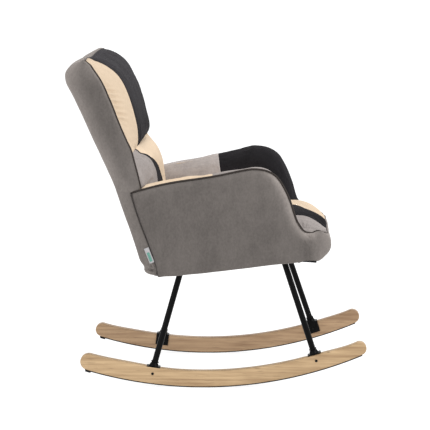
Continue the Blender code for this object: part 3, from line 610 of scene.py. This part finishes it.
def make_outer_cover():
    """The grey cover from one rear seam round the front to the other, turned under along the bottom."""
    plan, out, top, low, front = cover_stations()
    plan, out = both_sides(plan, (-1, 1)), both_sides(out, (-1, 1))
    top, low, front = both_sides(top), both_sides(low), both_sides(front)
    waver = np.array([noise.noise(Vector((p[0] * 16, p[1] * 16, 0.3))) for p in plan])
    turned_under = eased(REAR_FOOT + 0.004, REAR_FOOT - 0.02, plan[:, 1])
    low = low + 0.0016 * waver * turned_under + 0.0038 * drawn_up(plan[:, 1])
    share = clustered(58, 0.75)[:, None]
    z = top[None] + (low - top)[None] * share
    y = np.broadcast_to(plan[:, 1], z.shape)
    to_top, to_rear = (distance_to(smooth_line(edge), np.stack([y, z], -1)) for edge in (ARM_EDGE, SIDE_REAR))
    to_low = z - low[None]
    drawn_in = 0.011 * rolled(to_top, 0.013) + 0.012 * rolled(to_low, 0.018) * turned_under[None]
    drawn_in += 0.005 * rolled(to_rear, 0.01)
    drawn_in += 0.0035 * np.exp(-to_top / 0.035) + 0.002 * np.exp(-to_low / 0.05)
    profile = smooth_line(BORDER)[::-1]
    height = np.interp(1 - share, [0, 1], [profile[0, 1], profile[-1, 1]])
    bulge = np.interp(height, profile[:, 1], profile[:, 0]) - FRONT_Y
    inset = drawn_in * (1 - front)[None] + bulge * front[None]
    spots = np.concatenate([plan[None] - out[None] * inset[..., None], z[..., None]], -1)
    spots = ruffled(spots, 0.0022, 0.11, 1.7)
    spots = ruffled(spots, 0.0008, 0.035, 5.9)
    for _, side in SIDES:
        x = side * OUTER_X
        for start, end, width, depth in (
            ((x, -0.266, 0.458), (x, -0.262, 0.392), 0.008, 0.0042),
            ((x, -0.258, 0.472), (x - side * 0.014, -0.294, 0.446), 0.0042, 0.0048),
            ((x, -0.254, 0.468), (x, -0.276, 0.44), 0.004, 0.0036),
            ((x, -0.252, 0.46), (x, -0.262, 0.43), 0.004, 0.0024),
        ):
            spots = creased(spots, start, end, width, depth)
    spots = settled(spots)
    # Painted light and shade for the cover's velvet.
    painted_light = cover_painted_light(y, z, top[None] - z, front[None], to_top, to_low)
    under = []
    for reach, raised in ((0.006, 0.25), (0.02, 0.75), (0.04, 1.0)):
        row = spots[-1].copy()
        row[:, :2] -= out * (0.002 + reach * turned_under[:, None])
        level = low - 0.0015 + (seat_bottom(row[:, 1]) - 0.003 - low) * raised
        row[:, 2] += (level - row[:, 2]) * turned_under
        under.append(row)
    spots = np.concatenate([spots, np.stack(under)])
    painted_light = np.concatenate([painted_light, np.repeat(painted_light[-1:], 3, 0)])
    cover = soft_piece("outer_cover", spots, GREY, "grey_velvet", painted_light, 0.003)
    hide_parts("side_cover_left", "side_cover_right", "front_border")


# ---------------------------------------------------------------- outer back


def dipped(spots):
    """Lowers the back's top edge a little, most of all beside its right corner, and rounds its corners."""
    low = TOP_DIP * np.exp(-(((spots[..., 0] + 0.11) / 0.12) ** 2)) * eased(0.92, 0.97, spots[..., 2])
    low = low + 0.0055 * eased(0.258, 0.296, np.abs(spots[..., 0])) * eased(0.955, 0.978, spots[..., 2])
    return lowered(spots, low)


def back_section(z, front_y, rear_y, half, crown, corner):
    """Half of a level cut through the outer back, from the front edge of the wing to the middle."""
    depth = rear_y - front_y
    edge = min(0.009, depth * 0.3)
    corner = max(min(corner, depth - edge - 0.0005), 0.0005)
    turn = np.linspace(0, pi / 2, 8)
    points = [(half - edge * (1 - sin(t)), front_y + edge * (1 - cos(t))) for t in turn]
    side = np.linspace(front_y + edge, rear_y - corner, 14)[1:]
    points += [(half, y) for y in side]
    turn = np.linspace(0, pi / 2, 16)[1:]
    points += [(half - corner * (1 - cos(t)), rear_y - corner + corner * sin(t)) for t in turn]
    across = np.linspace(half - corner, 0, 34)[1:]
    points += [(x, rear_y + crown * (1 - (x / (half - corner)) ** 2)) for x in across]
    return [(x, y, z) for x, y in points]


def back_painted_light(spots):
    """Painted light on the outer back: painted sheen towards the rear corners and over the top, painted shade
    beside the wing's cord.
    """
    y, z = spots[..., 1], spots[..., 2]
    front, rear = y[:, :1], y.max(1, keepdims=True)
    across = np.clip((y - front) / np.maximum(rear - front, 1e-6), 0, 1)
    side = eased(WING_X - 0.062, WING_X - 0.02, np.abs(spots[..., 0]))
    upper = eased(0.6, 0.64, z)
    light = 0.8 * eased(0.36, 1.0, across) * upper + (0.16 + 0.42 * across) * (1 - upper)
    light += 0.12 * upper * eased(0.8, 0.66, z) + 0.42 * eased(0.88, 0.975, z)
    light -= 0.1 * np.exp(-(((across - 0.36) / 0.16) ** 2)) * upper
    light += 0.45 * np.exp(-((across / 0.05) ** 2)) * eased(0.7, 0.86, z)
    return 0.55 + (light - 0.55) * side


def make_outer_back():
    """The grey back: it rolls over the top and round both corners to the wings and the rear seams."""
    rear = smooth_line(BACK_REAR)[::-1]
    wing = smooth_line(WING_EDGE)[::-1]
    seam = smooth_line(SIDE_REAR)
    bottom = rear[0, 1]
    heights = np.concatenate([
        np.linspace(bottom, 0.392, 30)[:-1], np.linspace(0.392, 0.957, 135),
        TOP_Z - 0.0205 * np.linspace(1, 0, 14) ** 2,
    ])
    rows = []
    for z in heights:
        upper = np.interp(z, wing[:, 1], wing[:, 0])
        lower = np.interp(z, seam[:, 1], seam[:, 0])
        blend = float(eased(0.589, 0.599, z))
        front_y = lower * (1 - blend) + upper * blend
        rear_y = np.interp(z, rear[:, 1], rear[:, 0])
        half = (OUTER_X - 0.0035) * (1 - blend) + WING_X * blend
        half -= 0.016 * float(rolled(TOP_Z + 0.001 - z, 0.02))
        half -= 0.01 * float(rolled(z - bottom, 0.02))
        corner = 0.026 * float(eased(0.56, 0.66, z)) + 0.022
        crown = 0.004 * float(eased(0.34, 0.4, z) * (1 - eased(0.93, 0.978, z)))
        rear_y += 0.14 * corner * float(1 - eased(0.93, 0.978, z))
        right = back_section(z, front_y, rear_y, half, crown, corner)
        rows.append([(-x, y, z) for x, y, z in right] + right[-2::-1])
    spots = np.array(rows)
    front_y = spots[-1, 0, 1] - 0.003
    cap = []
    for share in (0.25, 0.5, 0.75, 1.0):
        row = spots[-1] * (1 - 0.04 * share, 1, 1)
        row[:, 1] += (front_y - row[:, 1]) * share
        row[:, 2] += 0.0028 * sin(pi * share * 0.8)
        cap.append(row)
    spots = dipped(np.concatenate([spots, np.stack(cap)]))
    spots = ruffled(spots, 0.0022, 0.12, 8.2)
    spots = ruffled(spots, 0.0007, 0.04, 2.2)
    for _, side in SIDES:
        x = side * (OUTER_X - 0.0035)
        for start, end, width, depth in (
            ((0.184, 0.384), (0.178, 0.358), 0.0034, 0.004), ((0.193, 0.38), (0.188, 0.36), 0.0034, 0.003),
            ((0.21, 0.3665), (0.176, 0.36), 0.0038, 0.007), ((0.202, 0.386), (0.193, 0.368), 0.004, 0.0022),
        ):
            spots = creased(spots, (x, *start), (x, *end), width, depth)
    # Painted light and shade for the outer back's velvet.
    painted_light = back_painted_light(spots)
    under = []
    for reach in (0.036, 0.018, 0.006):
        row = spots[0].copy()
        row[:, 1] -= reach
        row[:, 2] = seat_bottom(row[:, 1]) - 0.0035 - 0.003 * (0.036 - reach) / 0.036
        row[:, 0] *= 1 - reach * 1.5
        under.append(row)
    spots = np.concatenate([np.stack(under), spots])
    painted_light = np.concatenate([np.repeat(painted_light[:1], 3, 0), painted_light])
    cover = soft_piece("outer_back", spots, GREY, "grey_velvet", painted_light, 0.003)
    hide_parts("back_cover", "wing_left", "wing_right")


# ---------------------------------------------------------------- inner cushions


def back_surface(x, share):
    """Front of the back cushion: from the wing's cord out to a seamed ridge, then full across the middle."""
    end = curve_at(WING_EDGE[:11] + [(0.248, 0.7)], share) + (-0.001, -0.004)
    ridge = curve_at(RIDGE, share)
    full = curve_at(FULL_MIDDLE, share)
    beyond = np.clip((np.abs(x) - RIDGE_X) / (CUSHION_X - RIDGE_X), 0, 1)[..., None]
    rising = 1 - np.clip((x + RIDGE_X) / 0.07, 0, 1)[..., None]
    inner = full + (ridge - full) * rising**2.4
    outer = np.where((x > 0)[..., None], full, ridge)
    place = np.where(np.abs(x)[..., None] > RIDGE_X, outer * (1 - beyond**1.3) + end * beyond**1.3, inner)
    return dipped(np.concatenate([x[..., None], place], -1))


def lumbar_surface(x, share):
    """The roll at the small of the back, which draws in towards the wings at both ends."""
    middle = curve_at(LUMBAR_MIDDLE, share)
    side = curve_at(LUMBAR_SIDE, share)
    end = curve_at(LUMBAR_END, share)
    knee = np.where(x > 0, 0.12, 0.17)
    within = np.clip(np.abs(x) / knee, 0, 1)[..., None] ** 2
    t = np.clip((np.abs(x) - knee) / (CUSHION_X - knee), 0, 1)
    beyond = (1 - np.sqrt(np.clip(1 - t**2, 0, 1)))[..., None] * 0.55 + (t**2)[..., None] * 0.45
    place = np.where((np.abs(x) > knee)[..., None], side * (1 - beyond) + end * beyond,
                     middle * (1 - within) + side * within)
    place[..., 1] -= 0.009 * eased(-0.175, -0.265, x) * (1 - eased(0.02, 0.34, share))
    return np.concatenate([x[..., None], place], -1)


def corner_share(x):
    """How far round a front corner X is, from 0 where it starts to 1 at the cord."""
    return np.clip((np.abs(x) - (OUTER_X - CORNER)) / (PIPING_X - OUTER_X + CORNER), 0, 1)


def seat_front(x):
    """Y of the seat's front seam, which turns the corners with the border below it."""
    return BORDER[0][0] + (TOE_Y - BORDER[0][0] + 0.002) * (1 - np.sqrt(1 - corner_share(x) ** 2))


def seat_surface(x, share):
    """Top of the seat, crowned from side to side, with a rounded nose down to the front seam."""
    front = seat_front(x)
    y = SEAT_MIDDLE[0][0] + (front - SEAT_MIDDLE[0][0]) * (share * 0.72 + 0.28 * np.sin(pi / 2 * share))
    level = smooth_line(SEAT_MIDDLE)[::-1]
    height = np.interp(y, level[:, 0], level[:, 1])
    ahead = eased(-0.1, -0.26, y)
    narrow = (0.012 + 0.02 * ahead) * (np.abs(x) / 0.235) ** 2
    height = height - np.where(x < 0, narrow, 0.024 * (np.abs(x) / 0.2) ** 1.4)
    turn = corner_share(x)
    over = eased(-0.17, -0.08, x)
    front = front - 0.004 * over
    seam = SEAM_Z + (seam_height(1 - turn) - SEAM_Z) * eased(0, 0.25, turn) - 0.01 * over
    drawn_in = np.exp(-(((x - SEAT_SIDES[1]) / 0.05) ** 2))
    soft = np.where(x < SEAT_SIDES[1], np.maximum(drawn_in, eased(-0.105, -0.165, x)), 0.5 + 0.5 * drawn_in)
    gap = np.clip((y - front) / (0.076 + 0.03 * drawn_in + 0.008 * eased(-0.04, 0.04, x)), 0, 1)
    nose = np.sqrt(1 - (1 - gap) ** 2) * (1 - soft) + np.sin(pi / 2 * gap) ** 1.15 * soft
    y = y - 0.0045 * np.sin(pi * nose) * (gap < 1) * (1 - soft)
    return settled(np.stack([x, y, seam + (np.maximum(height, seam + 0.001) - seam) * nose], -1))


def make_back_cushion():
    puckers = []
    for z, reach, depth in ((0.902, 0.045, 0.003), (0.886, 0.055, 0.005), (0.87, 0.05, 0.0042),
                            (0.853, 0.058, 0.0056), (0.836, 0.045, 0.004), (0.82, 0.052, 0.0052),
                            (0.803, 0.04, 0.0036)):
        y = np.interp(z, *smooth_line(WING_EDGE)[::-1].T[::-1])
        puckers.append(((-CUSHION_X + 0.003, y - 0.003, z), (-CUSHION_X + reach, y - 0.6 * reach, z - 0.014),
                        0.005, depth))
    # Painted light: rim paints a highlight along the wing panel's seams, and the main panel is painted
    # lighter at its top and darker towards its bottom.
    panel("back_wing_panel", back_surface, 0.34, -CUSHION_X, -RIDGE_X, 0.0045, CREAM, "cream_velvet", 0.7,
          touch=puckers, rim=0.22)
    panel("back_main_panel", back_surface, 0.34, -RIDGE_X, CUSHION_X, 0.0035, CHARCOAL, "charcoal_velvet",
          0.7, replaces=("back_cushion",), painted_shading=(1.05, -0.36))


def make_lumbar_cushion():
    puckers = [
        ((-0.262, 0.2145, 0.594), (-0.24, 0.202, 0.637), 0.005, 0.01),
        ((-0.285, 0.2205, 0.594), (-0.285, 0.2245, 0.632), 0.005, 0.009),
        ((-0.284, 0.215, 0.606), (-0.25, 0.19, 0.622), 0.0045, 0.005),
    ]
    first = slanted_seam(-0.24, -0.168, 0.1, 0.42, 0.75)
    second = slanted_seam(-0.23, -0.005, 0.1, 0.62, 1.0)
    # Painted light: the rims paint highlights along the panels' seams, the wedge is painted darker as shade,
    # most at its bottom, and the left panel is painted lighter at its top.
    panel("lumbar_panel_right", lumbar_surface, 0.25, -CUSHION_X, first, 0.006, LIGHT_GREY,
          "light_grey_velvet", 0.8, touch=puckers, rim=0.35)
    panel("lumbar_wedge", lumbar_surface, 0.25, first, second, 0.001, CHARCOAL, "charcoal_velvet", 0.8,
          painted_shading=(-0.1, -0.2), surplus=0.001, keep=0.0)
    panel("lumbar_panel_left", lumbar_surface, 0.25, second, CUSHION_X, 0.0035, CREAM, "cream_velvet", 0.8,
          replaces=("lumbar_cushion",), rim=0.12, painted_shading=(0.16, 0.02))


def make_seat_cushion():
    edge = PIPING_X - 0.001
    folds = [
        ((-0.298, -0.258, 0.482), (-0.225, -0.262, 0.5), 0.004, 0.0042),
        ((-0.296, -0.262, 0.481), (-0.228, -0.28, 0.498), 0.0036, 0.0042),
        ((-0.292, -0.266, 0.48), (-0.236, -0.298, 0.49), 0.0034, 0.0036),
        ((-0.298, -0.254, 0.483), (-0.225, -0.244, 0.502), 0.004, 0.003),
        ((-0.288, -0.27, 0.479), (-0.25, -0.308, 0.48), 0.0032, 0.0026),
    ]
    marks = [-edge, *SEAT_SIDES, edge]
    # Each panel's last number paints its colour lighter or darker all over as painted light and shade: the
    # charcoal panel darker, the cream one a little lighter; rim paints a highlight along the seams.
    makes = [
        ("right", LIGHT_GREY, "light_grey_velvet", 0.005, 0.0),
        ("second", CHARCOAL, "charcoal_velvet", 0.005, -0.2),
        ("third", CREAM, "cream_velvet", 0.006, 0.04),
        ("left", LIGHT_GREY, "light_grey_velvet", 0.005, 0.0),
    ]
    for low, high, (name, finish, slot, rise, painted_shading) in zip(marks, marks[1:], makes):
        panel("seat_panel_" + name, seat_surface, 0.52, low, high, rise, finish, slot, 0.75,
              touch=folds if name == "right" else (), replaces=("seat_cushion",) if name == "third" else (),
              rim=0.18, painted_shading=(painted_shading, painted_shading))


# ---------------------------------------------------------------- arm pads

# Across an arm's top, from the cord inwards: X, and the height above the cord.
ARM_TOP_PROFILE = [
    (0.3135, 0.0), (0.3095, 0.0022), (0.301, 0.003), (0.289, 0.0016), (0.274, -0.003),
    (0.26, -0.0105), (0.248, -0.0215), (0.24, -0.035), (0.2355, -0.05),
]


def arm_grid(side, arm):
    """Places on an arm's inner pad: over the top from the cord, then down to the seat."""
    out = left_of(arm[::-1])[::-1]
    profile = spaced(smooth_line(ARM_TOP_PROFILE), 22)
    y = arm[:, 0]
    fade = 1 - eased(-0.02, -0.1, y) if side < 0 else 1 - eased(0.03, 0.1, y)
    full = 1 + (1.6 * eased(0.03, 0.09, y) - 2.6 * eased(0.198, 0.222, y)) * (side < 0)
    sunk = 0.0035 * eased(-0.125, -0.17, y) * (side < 0)
    rows = []
    for x, rise in profile:
        shift = rise * (full * fade if rise > 0 else 1) - sunk * min(1, (profile[0, 0] - x) / 0.004)
        rows.append(at_x(side * x, arm + out * np.reshape(shift, (-1, 1))))
    start = rows[-1][:, 1:]
    floor = np.minimum(0.47 - 0.1 * (start[:, 0] + 0.05), start[:, 1] - 0.004)
    for share in np.linspace(0, 1, 24)[1:]:
        z = start[:, 1] + (floor - start[:, 1]) * share
        x = side * (PAD_X + 0.001 - 0.002 * np.sin(pi * share))
        rows.append(at_x(x, np.column_stack([start[:, 0], z])))
    return settled(np.array(rows))


def make_arm_pads():
    edge = smooth_line(ARM_EDGE[:-2])
    # The last number paints each pad lighter or darker all over as painted light: the left rear pad much
    # lighter, as if more light reached it, the right rear pad a little lighter, the left front pad a little
    # darker.
    makes = (
        ((CREAM, "cream_velvet", 0.1), (LIGHT_GREY, "light_grey_velvet", 0.0)),
        ((LIGHT_GREY, "light_grey_velvet", 0.5), (CHARCOAL, "charcoal_velvet", -0.02)),
    )
    parts = ("rear", edge[edge[:, 0] >= BACK_SPLIT]), ("front", edge[edge[:, 0] < BACK_SPLIT])
    seam = [np.interp(-BACK_SPLIT, -edge[:, 0], edge[:, axis]) for axis in range(2)]
    for (name, side), finishes in zip(SIDES, makes):
        for (part, line), (finish, slot, painted_shading) in zip(parts, finishes):
            line = np.vstack([line, seam] if part == "rear" else [seam, line])
            line = spaced(line, int(np.linalg.norm(np.diff(line, axis=0), axis=1).sum() / CELL) + 2)
            spots = arm_grid(side, line)
            spots = spots[:, ::-1] if side > 0 else spots
            spots = ruffled(finer(inflated(spots, 0.003, 0.006)), 0.0012, 0.05, 4.4 * side)
            painted_light = np.full(spots.shape[:2], painted_shading)
            piece = soft_piece("arm_pad_" + part + "_" + name, spots, finish, slot, painted_light, 0.004)
            if part == "rear":
                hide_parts("arm_pad_" + name)


# ---------------------------------------------------------------- trim

CORD = 0.0027  # radius of the cord along the arms and the wings
FRONT_CORD = 0.0018  # and where it is drawn into the front seam
TOP_CORD = 0.0014  # and over the back's top


def cord(name, points, radii, finish, slot):
    """A sewn cord through these places, round, with closed ends."""
    curve = bpy.data.curves.new(name, "CURVE")
    configured(curve, dimensions="3D", bevel_depth=1.0, bevel_resolution=4, use_fill_caps=True)
    curve.materials.append(finish)
    spline = curve.splines.new("POLY")
    spline.points.add(len(points) - 1)
    for place, point, radius in zip(spline.points, points, radii):
        place.co = (*point, 1)
        place.radius = radius
    spline.use_smooth = True
    return placed(name, curve, slot)


def tapered(thick, taper, thin, count):
    """Radii of a cord, thick at both ends and thin in the middle. The count is that of half the cord."""
    radii = np.concatenate([np.full(thick, CORD), np.linspace(CORD, thin, taper)])
    return both_sides(np.concatenate([radii, np.full(count - len(radii), thin)]))


def make_piping():
    """The cord from one arm's rear end over its nose, along the front seam and up the other arm."""
    arm = spaced(smooth_line(ARM_EDGE), 150)
    arm = arm + left_of(arm[::-1])[::-1] * 0.0015
    right = at_x(-PIPING_X - 0.0028, arm)
    turns = np.linspace(0, pi / 2, 20)[1:]
    share = np.linspace(0, 1, 50)[1:]
    inner = CORNER - 0.0115
    corner = np.column_stack([corner_arc(turns, inner)[0], seam_height(np.sin(turns))])
    front = np.column_stack([(OUTER_X - CORNER) * (share - 1), np.full(49, TOE_Y - inner), front_seam(share)])
    half = np.vstack([right, corner, front])
    piece = cord("arm_and_seat_piping", settled(both_sides(half, (-1, 1, 1))),
                 tapered(len(right) - 12, 12, FRONT_CORD, len(half)), PIPING, "piping")
    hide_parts("arm_piping_left", "arm_piping_right")
    wing = spaced(smooth_line(WING_EDGE), 130)
    wing = wing + left_of(wing) * -0.0012
    inset = 0.009 + 0.01 * rolled(0.9775 - wing[:, 1], 0.012)
    up = at_x(inset - WING_X, wing)[wing[:, 1] < 0.972][::-1]
    over = [(-0.293, 0.38, 0.9765), (-0.284, 0.3815, 0.9788), (-0.27, 0.3815, 0.979)]
    turn = smooth_line([up[-1], *over], 6)[1:]
    across = np.tile(over[-1], (59, 1)) * np.column_stack([np.linspace(1, 0, 60)[1:], np.ones((59, 2))])
    half = dipped(np.vstack([up, turn, across]))
    piece = cord("wing_and_top_piping", both_sides(half, (-1, 1, 1)),
                 tapered(len(up) - 6, 6, TOP_CORD, len(half)), PIPING, "piping")
    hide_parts("back_piping")


def make_seams():
    """The drawn-in seams where the back meets the side covers, from the arm's end down."""
    line = spaced(smooth_line(SIDE_REAR), 90)
    turn = spaced(smooth_line([(0.257, 0.5895), (0.248, 0.5905), (0.237, 0.594), (0.2245, 0.5985)]), 20)
    width = 0.0003 + 0.0007 * eased(0.376, 0.392, line[:, 1])
    for name, side in SIDES:
        down = settled(at_x(side * (OUTER_X - 0.005), line))
        over = settled(at_x(side * (OUTER_X - 0.0085), turn))
        cord("rear_seam_" + name, down, width, THREAD, "piping")
        cord("arm_end_seam_" + name, over, np.full(len(over), 0.0013), THREAD, "piping")


def make_dust_cover_edge():
    """The dust cover's black hem, which shows where the border is drawn up, with a stitch end beside it."""
    y = np.linspace(-0.29, -0.246, 24)
    hem = np.column_stack([y, 0.3885 + 0.003 * np.sin((y + 0.29) * 25)])
    for name, side in SIDES:
        cord("dust_cover_hem_" + name, at_x(side * 0.313, hem), np.full(24, 0.0026), DUST_CLOTH, "dust_cloth")
    stitch = [(-0.312, -0.2405, 0.39), (-0.3135, -0.24, 0.388), (-0.313, -0.2385, 0.385)]
    cord("stitch_end", stitch, (0.0012, 0.0019, 0.0014), DUST_CLOTH, "dust_cloth")


def make_label():
    """A folded ribbon sewn into the right rear seam, blank but for a plain coloured band."""
    low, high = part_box("side_label")
    middle = (low + high) / 2
    slope = -0.37  # how far the ribbon leans, as the seam does
    wide, tall = 0.0145, 0.047
    for name, finish, above, first, last, rows in (
        ("ribbon_label", LABEL, 0, 0, 1, np.linspace(-0.5, 0.5, 24)),
        ("ribbon_label_band", LABEL_BAND, 0.0003, 0.22, 0.78, np.linspace(-0.4, 0.2, 16)),
    ):
        spots = []
        for share in np.linspace(first, last, 9):
            out = OUTER_X - 0.0025 + 0.0022 * sin(pi * share) + above
            row = [(-out, middle.y - wide * (share - 0.5) * cos(slope) - tall * r * sin(slope),
                    middle.z + tall * r * cos(slope) - wide * (share - 0.5) * sin(slope)) for r in rows]
            spots.append(row)
        piece = thickened(grid_object(name, np.array(spots), finish, "label"), 0.0009)
        if not above:
            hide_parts("side_label")


# ---------------------------------------------------------------- rockers and legs

ROCK_RADIUS = 1.21  # of the strips' underside
ROCK_Y = 0.05  # Y of the middle of the rocking arc
ROCKER_DEPTH = 0.0475
STRIP = 0.0025  # thickness of the rubber strips
LEG_RADIUS = 0.009


def arc(radius, angle):
    return np.stack([ROCK_Y + radius * np.sin(angle), ROCK_RADIUS - radius * np.cos(angle)], -1)


def make_rockers():
    """Sawn hardwood rockers with half-round ends and eased edges. Their depth varies a little along them."""
    inner = ROCK_RADIUS - STRIP - 0.0003
    turns = np.linspace(0, pi, 22)[1:-1]
    for name, finish, changes in (
        ("right", NEAR_OAK, ((0.27, 0.09, 0.0042), (-0.42, 0.075, -0.0075))),
        ("left", FAR_OAK, ((0.39, 0.08, -0.005), (-0.42, 0.06, -0.0035))),
    ):
        low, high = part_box("rocker_" + name)

        def depth(y):
            bulges = (size * np.exp(-(((y - place) / reach) ** 2)) for place, reach, size in changes)
            return ROCKER_DEPTH + sum(bulges)

        front, rear = depth(low.y) / 2, depth(high.y) / 2
        first = asin((low.y - ROCK_Y) / (inner - front)) + front / inner
        last = asin((high.y - ROCK_Y) / (inner - rear)) - rear / inner
        angles = np.linspace(first, last, 110)
        ends = []
        for half, angle, way in ((rear, last, 1), (front, first, -1)):
            ends.append(arc(inner - half, angle) + way * half * np.stack([
                np.sin(turns) * cos(angle) + np.cos(turns) * sin(angle),
                np.sin(turns) * sin(angle) - np.cos(turns) * cos(angle)], -1))
        upper = arc(inner - depth(ROCK_Y + inner * np.sin(angles)), angles)[::-1]
        outline = np.vstack([arc(inner, angles), ends[0], upper, ends[1]])
        piece = bar_of("rocker_board_" + name, outline, low.x, high.x, finish, "rocker_wood")
        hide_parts("rocker_" + name)


def bar_of(name, outline, x_low, x_high, finish, slot):
    """An outline in Y and Z given a thickness along X, with its edges rounded over."""
    shape = bmesh.new()
    face = shape.faces.new([shape.verts.new((x_low, y, z)) for y, z in outline])
    made = bmesh.ops.extrude_face_region(shape, geom=[face])
    moved = [item for item in made["geom"] if isinstance(item, bmesh.types.BMVert)]
    bmesh.ops.translate(shape, vec=(x_high - x_low, 0, 0), verts=moved)
    piece = bmesh_object(name, shape, finish, slot)
    configured(piece.modifiers.new("eased_edges", "BEVEL"), width=0.0028, segments=4, limit_method="ANGLE",
               angle_limit=radians(60))
    piece.data.set_sharp_from_angle(angle=radians(50))
    return piece


def axis_of(node):
    """The two ends of a long thin node's axis, and its direction upwards."""
    points = np.array([v.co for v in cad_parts[node].data.vertices])
    run = np.linalg.svd(points - points.mean(0), full_matrices=False)[2][0]
    run = run if run[2] > 0 else -run
    along = (points - points.mean(0)) @ run
    low = points[along < along.min() + 0.002].mean(0)
    high = points[along > along.max() - 0.002].mean(0)
    return Vector(low), Vector(high), Vector(run)


def turned(name, start, run, profile, finish, slot, sides=40):
    """A turned shape about an axis: profile is (distance along the axis, radius)."""
    across = run.orthogonal().normalized()
    other = run.cross(across)
    angles = np.linspace(0, 2 * pi, sides, endpoint=False)
    rows = []
    for along, radius in profile:
        centre = start + run * along
        rows.append([tuple(centre + (across * cos(a) + other * sin(a)) * radius) for a in angles])
    piece = grid_object(name, np.array(rows), finish, slot, wrap=True)
    shape = bmesh.new()
    shape.from_mesh(piece.data)
    for ring in (0, len(rows) - 1):
        shape.verts.ensure_lookup_table()
        shape.faces.new([shape.verts[ring * sides + i] for i in range(sides)])
    bmesh.ops.recalc_face_normals(shape, faces=shape.faces)
    shape.to_mesh(piece.data)
    shape.free()
    piece.data.shade_smooth()
    piece.data.set_sharp_from_angle(angle=radians(35))
    return piece


def make_legs():
    turns = np.linspace(0, pi, 9)
    bead = np.column_stack([0.0125 - 0.003 * np.cos(turns), 0.0088 + 0.0028 * np.sin(turns)])
    for end in ("front", "rear"):
        for name in ("left", "right"):
            node = "leg_" + end + "_" + name
            low, high, run = axis_of(node)
            length = (high - low).length
            profile = [(0, LEG_RADIUS - 0.0005), (0.0005, LEG_RADIUS), (length - 0.0005, LEG_RADIUS),
                       (length, LEG_RADIUS - 0.0005)]
            tube = turned("tube_" + end + "_" + name, low, run, profile, BLACK_STEEL, "black_steel")
            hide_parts(node)
            turned("weld_" + end + "_" + name, low, run, bead.tolist(), BLACK_STEEL, "black_steel")


# ---------------------------------------------------------------- the CAD nodes that stay

KEPT = {
    "anti_slip_strip": RUBBER, "stop_pad": RUBBER, "arm_panel": PLYWOOD, "back_post": PINE,
    "back_rail": PINE, "cross_rail": PINE, "seat_rail": PINE, "dust_cover": DUST_CLOTH,
    "webbing_strap": WEBBING, "foot_bracket": BLACK_STEEL, "leg_plate": BLACK_STEEL,
    "plate_screw": BOLT_STEEL, "rocker_bolt": BOLT_STEEL,
}


def finish_cad_nodes():
    for name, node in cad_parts.items():
        for start, finish in KEPT.items():
            if name.startswith(start):
                node.data.materials.clear()
                node.data.materials.append(finish)
                node.data.shade_smooth()
                configured(node.modifiers.new("weld", "WELD"), merge_threshold=0.00002)
                configured(node.modifiers.new("soft_edges", "BEVEL"), width=0.0004, segments=2,
                           limit_method="ANGLE", angle_limit=radians(35), harden_normals=True)


# ---------------------------------------------------------------- stage


def area_light(name, place, target, size, power):
    data = bpy.data.lights.new(name, "AREA")
    configured(data, shape="RECTANGLE", size=size, size_y=size, energy=power)
    light = placed(name, data)
    light.location = place
    light.rotation_euler = (Vector(target) - Vector(place)).to_track_quat("-Z", "Y").to_euler()


def make_stage():
    """A pale floor, soft light all round and three large soft lamps."""
    shape = bmesh.new()
    bmesh.ops.create_grid(shape, x_segments=2, y_segments=2, size=160)
    floor_material, tree, shader = new_material(
        "studio_floor", (0.3, 0.3, 0.3), 0.9, Specular_IOR_Level=0.0, Emission_Color=(1, 1, 1, 1),
        Emission_Strength=0.86,
    )
    clouds = pattern(tree, (1, 1, 1), 3.0, 2.0)
    tone = ramp(tree, clouds, [(0.3, (0.29, 0.29, 0.29)), (0.7, (0.31, 0.31, 0.31))])
    tree.links.new(tone, shader.inputs["Base Color"])
    floor = bmesh_object("floor", shape, floor_material, None)
    floor.location.z = -0.0006
    world = bpy.data.worlds.new("studio")
    world.use_nodes = True
    background = world.node_tree.nodes["Background"].inputs
    background["Color"].default_value = (1, 1, 1, 1)
    background["Strength"].default_value = 1.06
    bpy.context.scene.world = world
    area_light("key", (-2.2, -2.6, 3.0), (0, 0, 0.55), 2.4, 60)
    area_light("fill", (-3.0, 2.4, 1.8), (0, 0, 0.5), 2.4, 22)
    area_light("rim", (2.6, -1.0, 2.6), (0, 0, 0.6), 2.0, 30)
    bpy.context.scene.view_settings.view_transform = "Standard"


def make_camera():
    """A long lens from the chair's right side, a little above it and turned slightly to its back."""
    data = bpy.data.cameras.new("camera")
    data.sensor_width = 36
    data.lens = 159.65
    camera = placed("camera", data)
    camera.location = (-5.8, -0.163, 1.2872)
    yaw, pitch = radians(1.76), radians(7.9)
    forward = Vector((cos(pitch) * cos(yaw), cos(pitch) * sin(yaw), -sin(pitch)))
    camera.rotation_euler = forward.to_track_quat("-Z", "Y").to_euler()
    bpy.context.scene.camera = camera


make_camera()
make_stage()
make_outer_cover()
make_outer_back()
make_back_cushion()
make_lumbar_cushion()
make_seat_cushion()
make_arm_pads()
make_piping()
make_seams()
make_label()
make_dust_cover_edge()
make_rockers()
make_legs()
finish_cad_nodes()
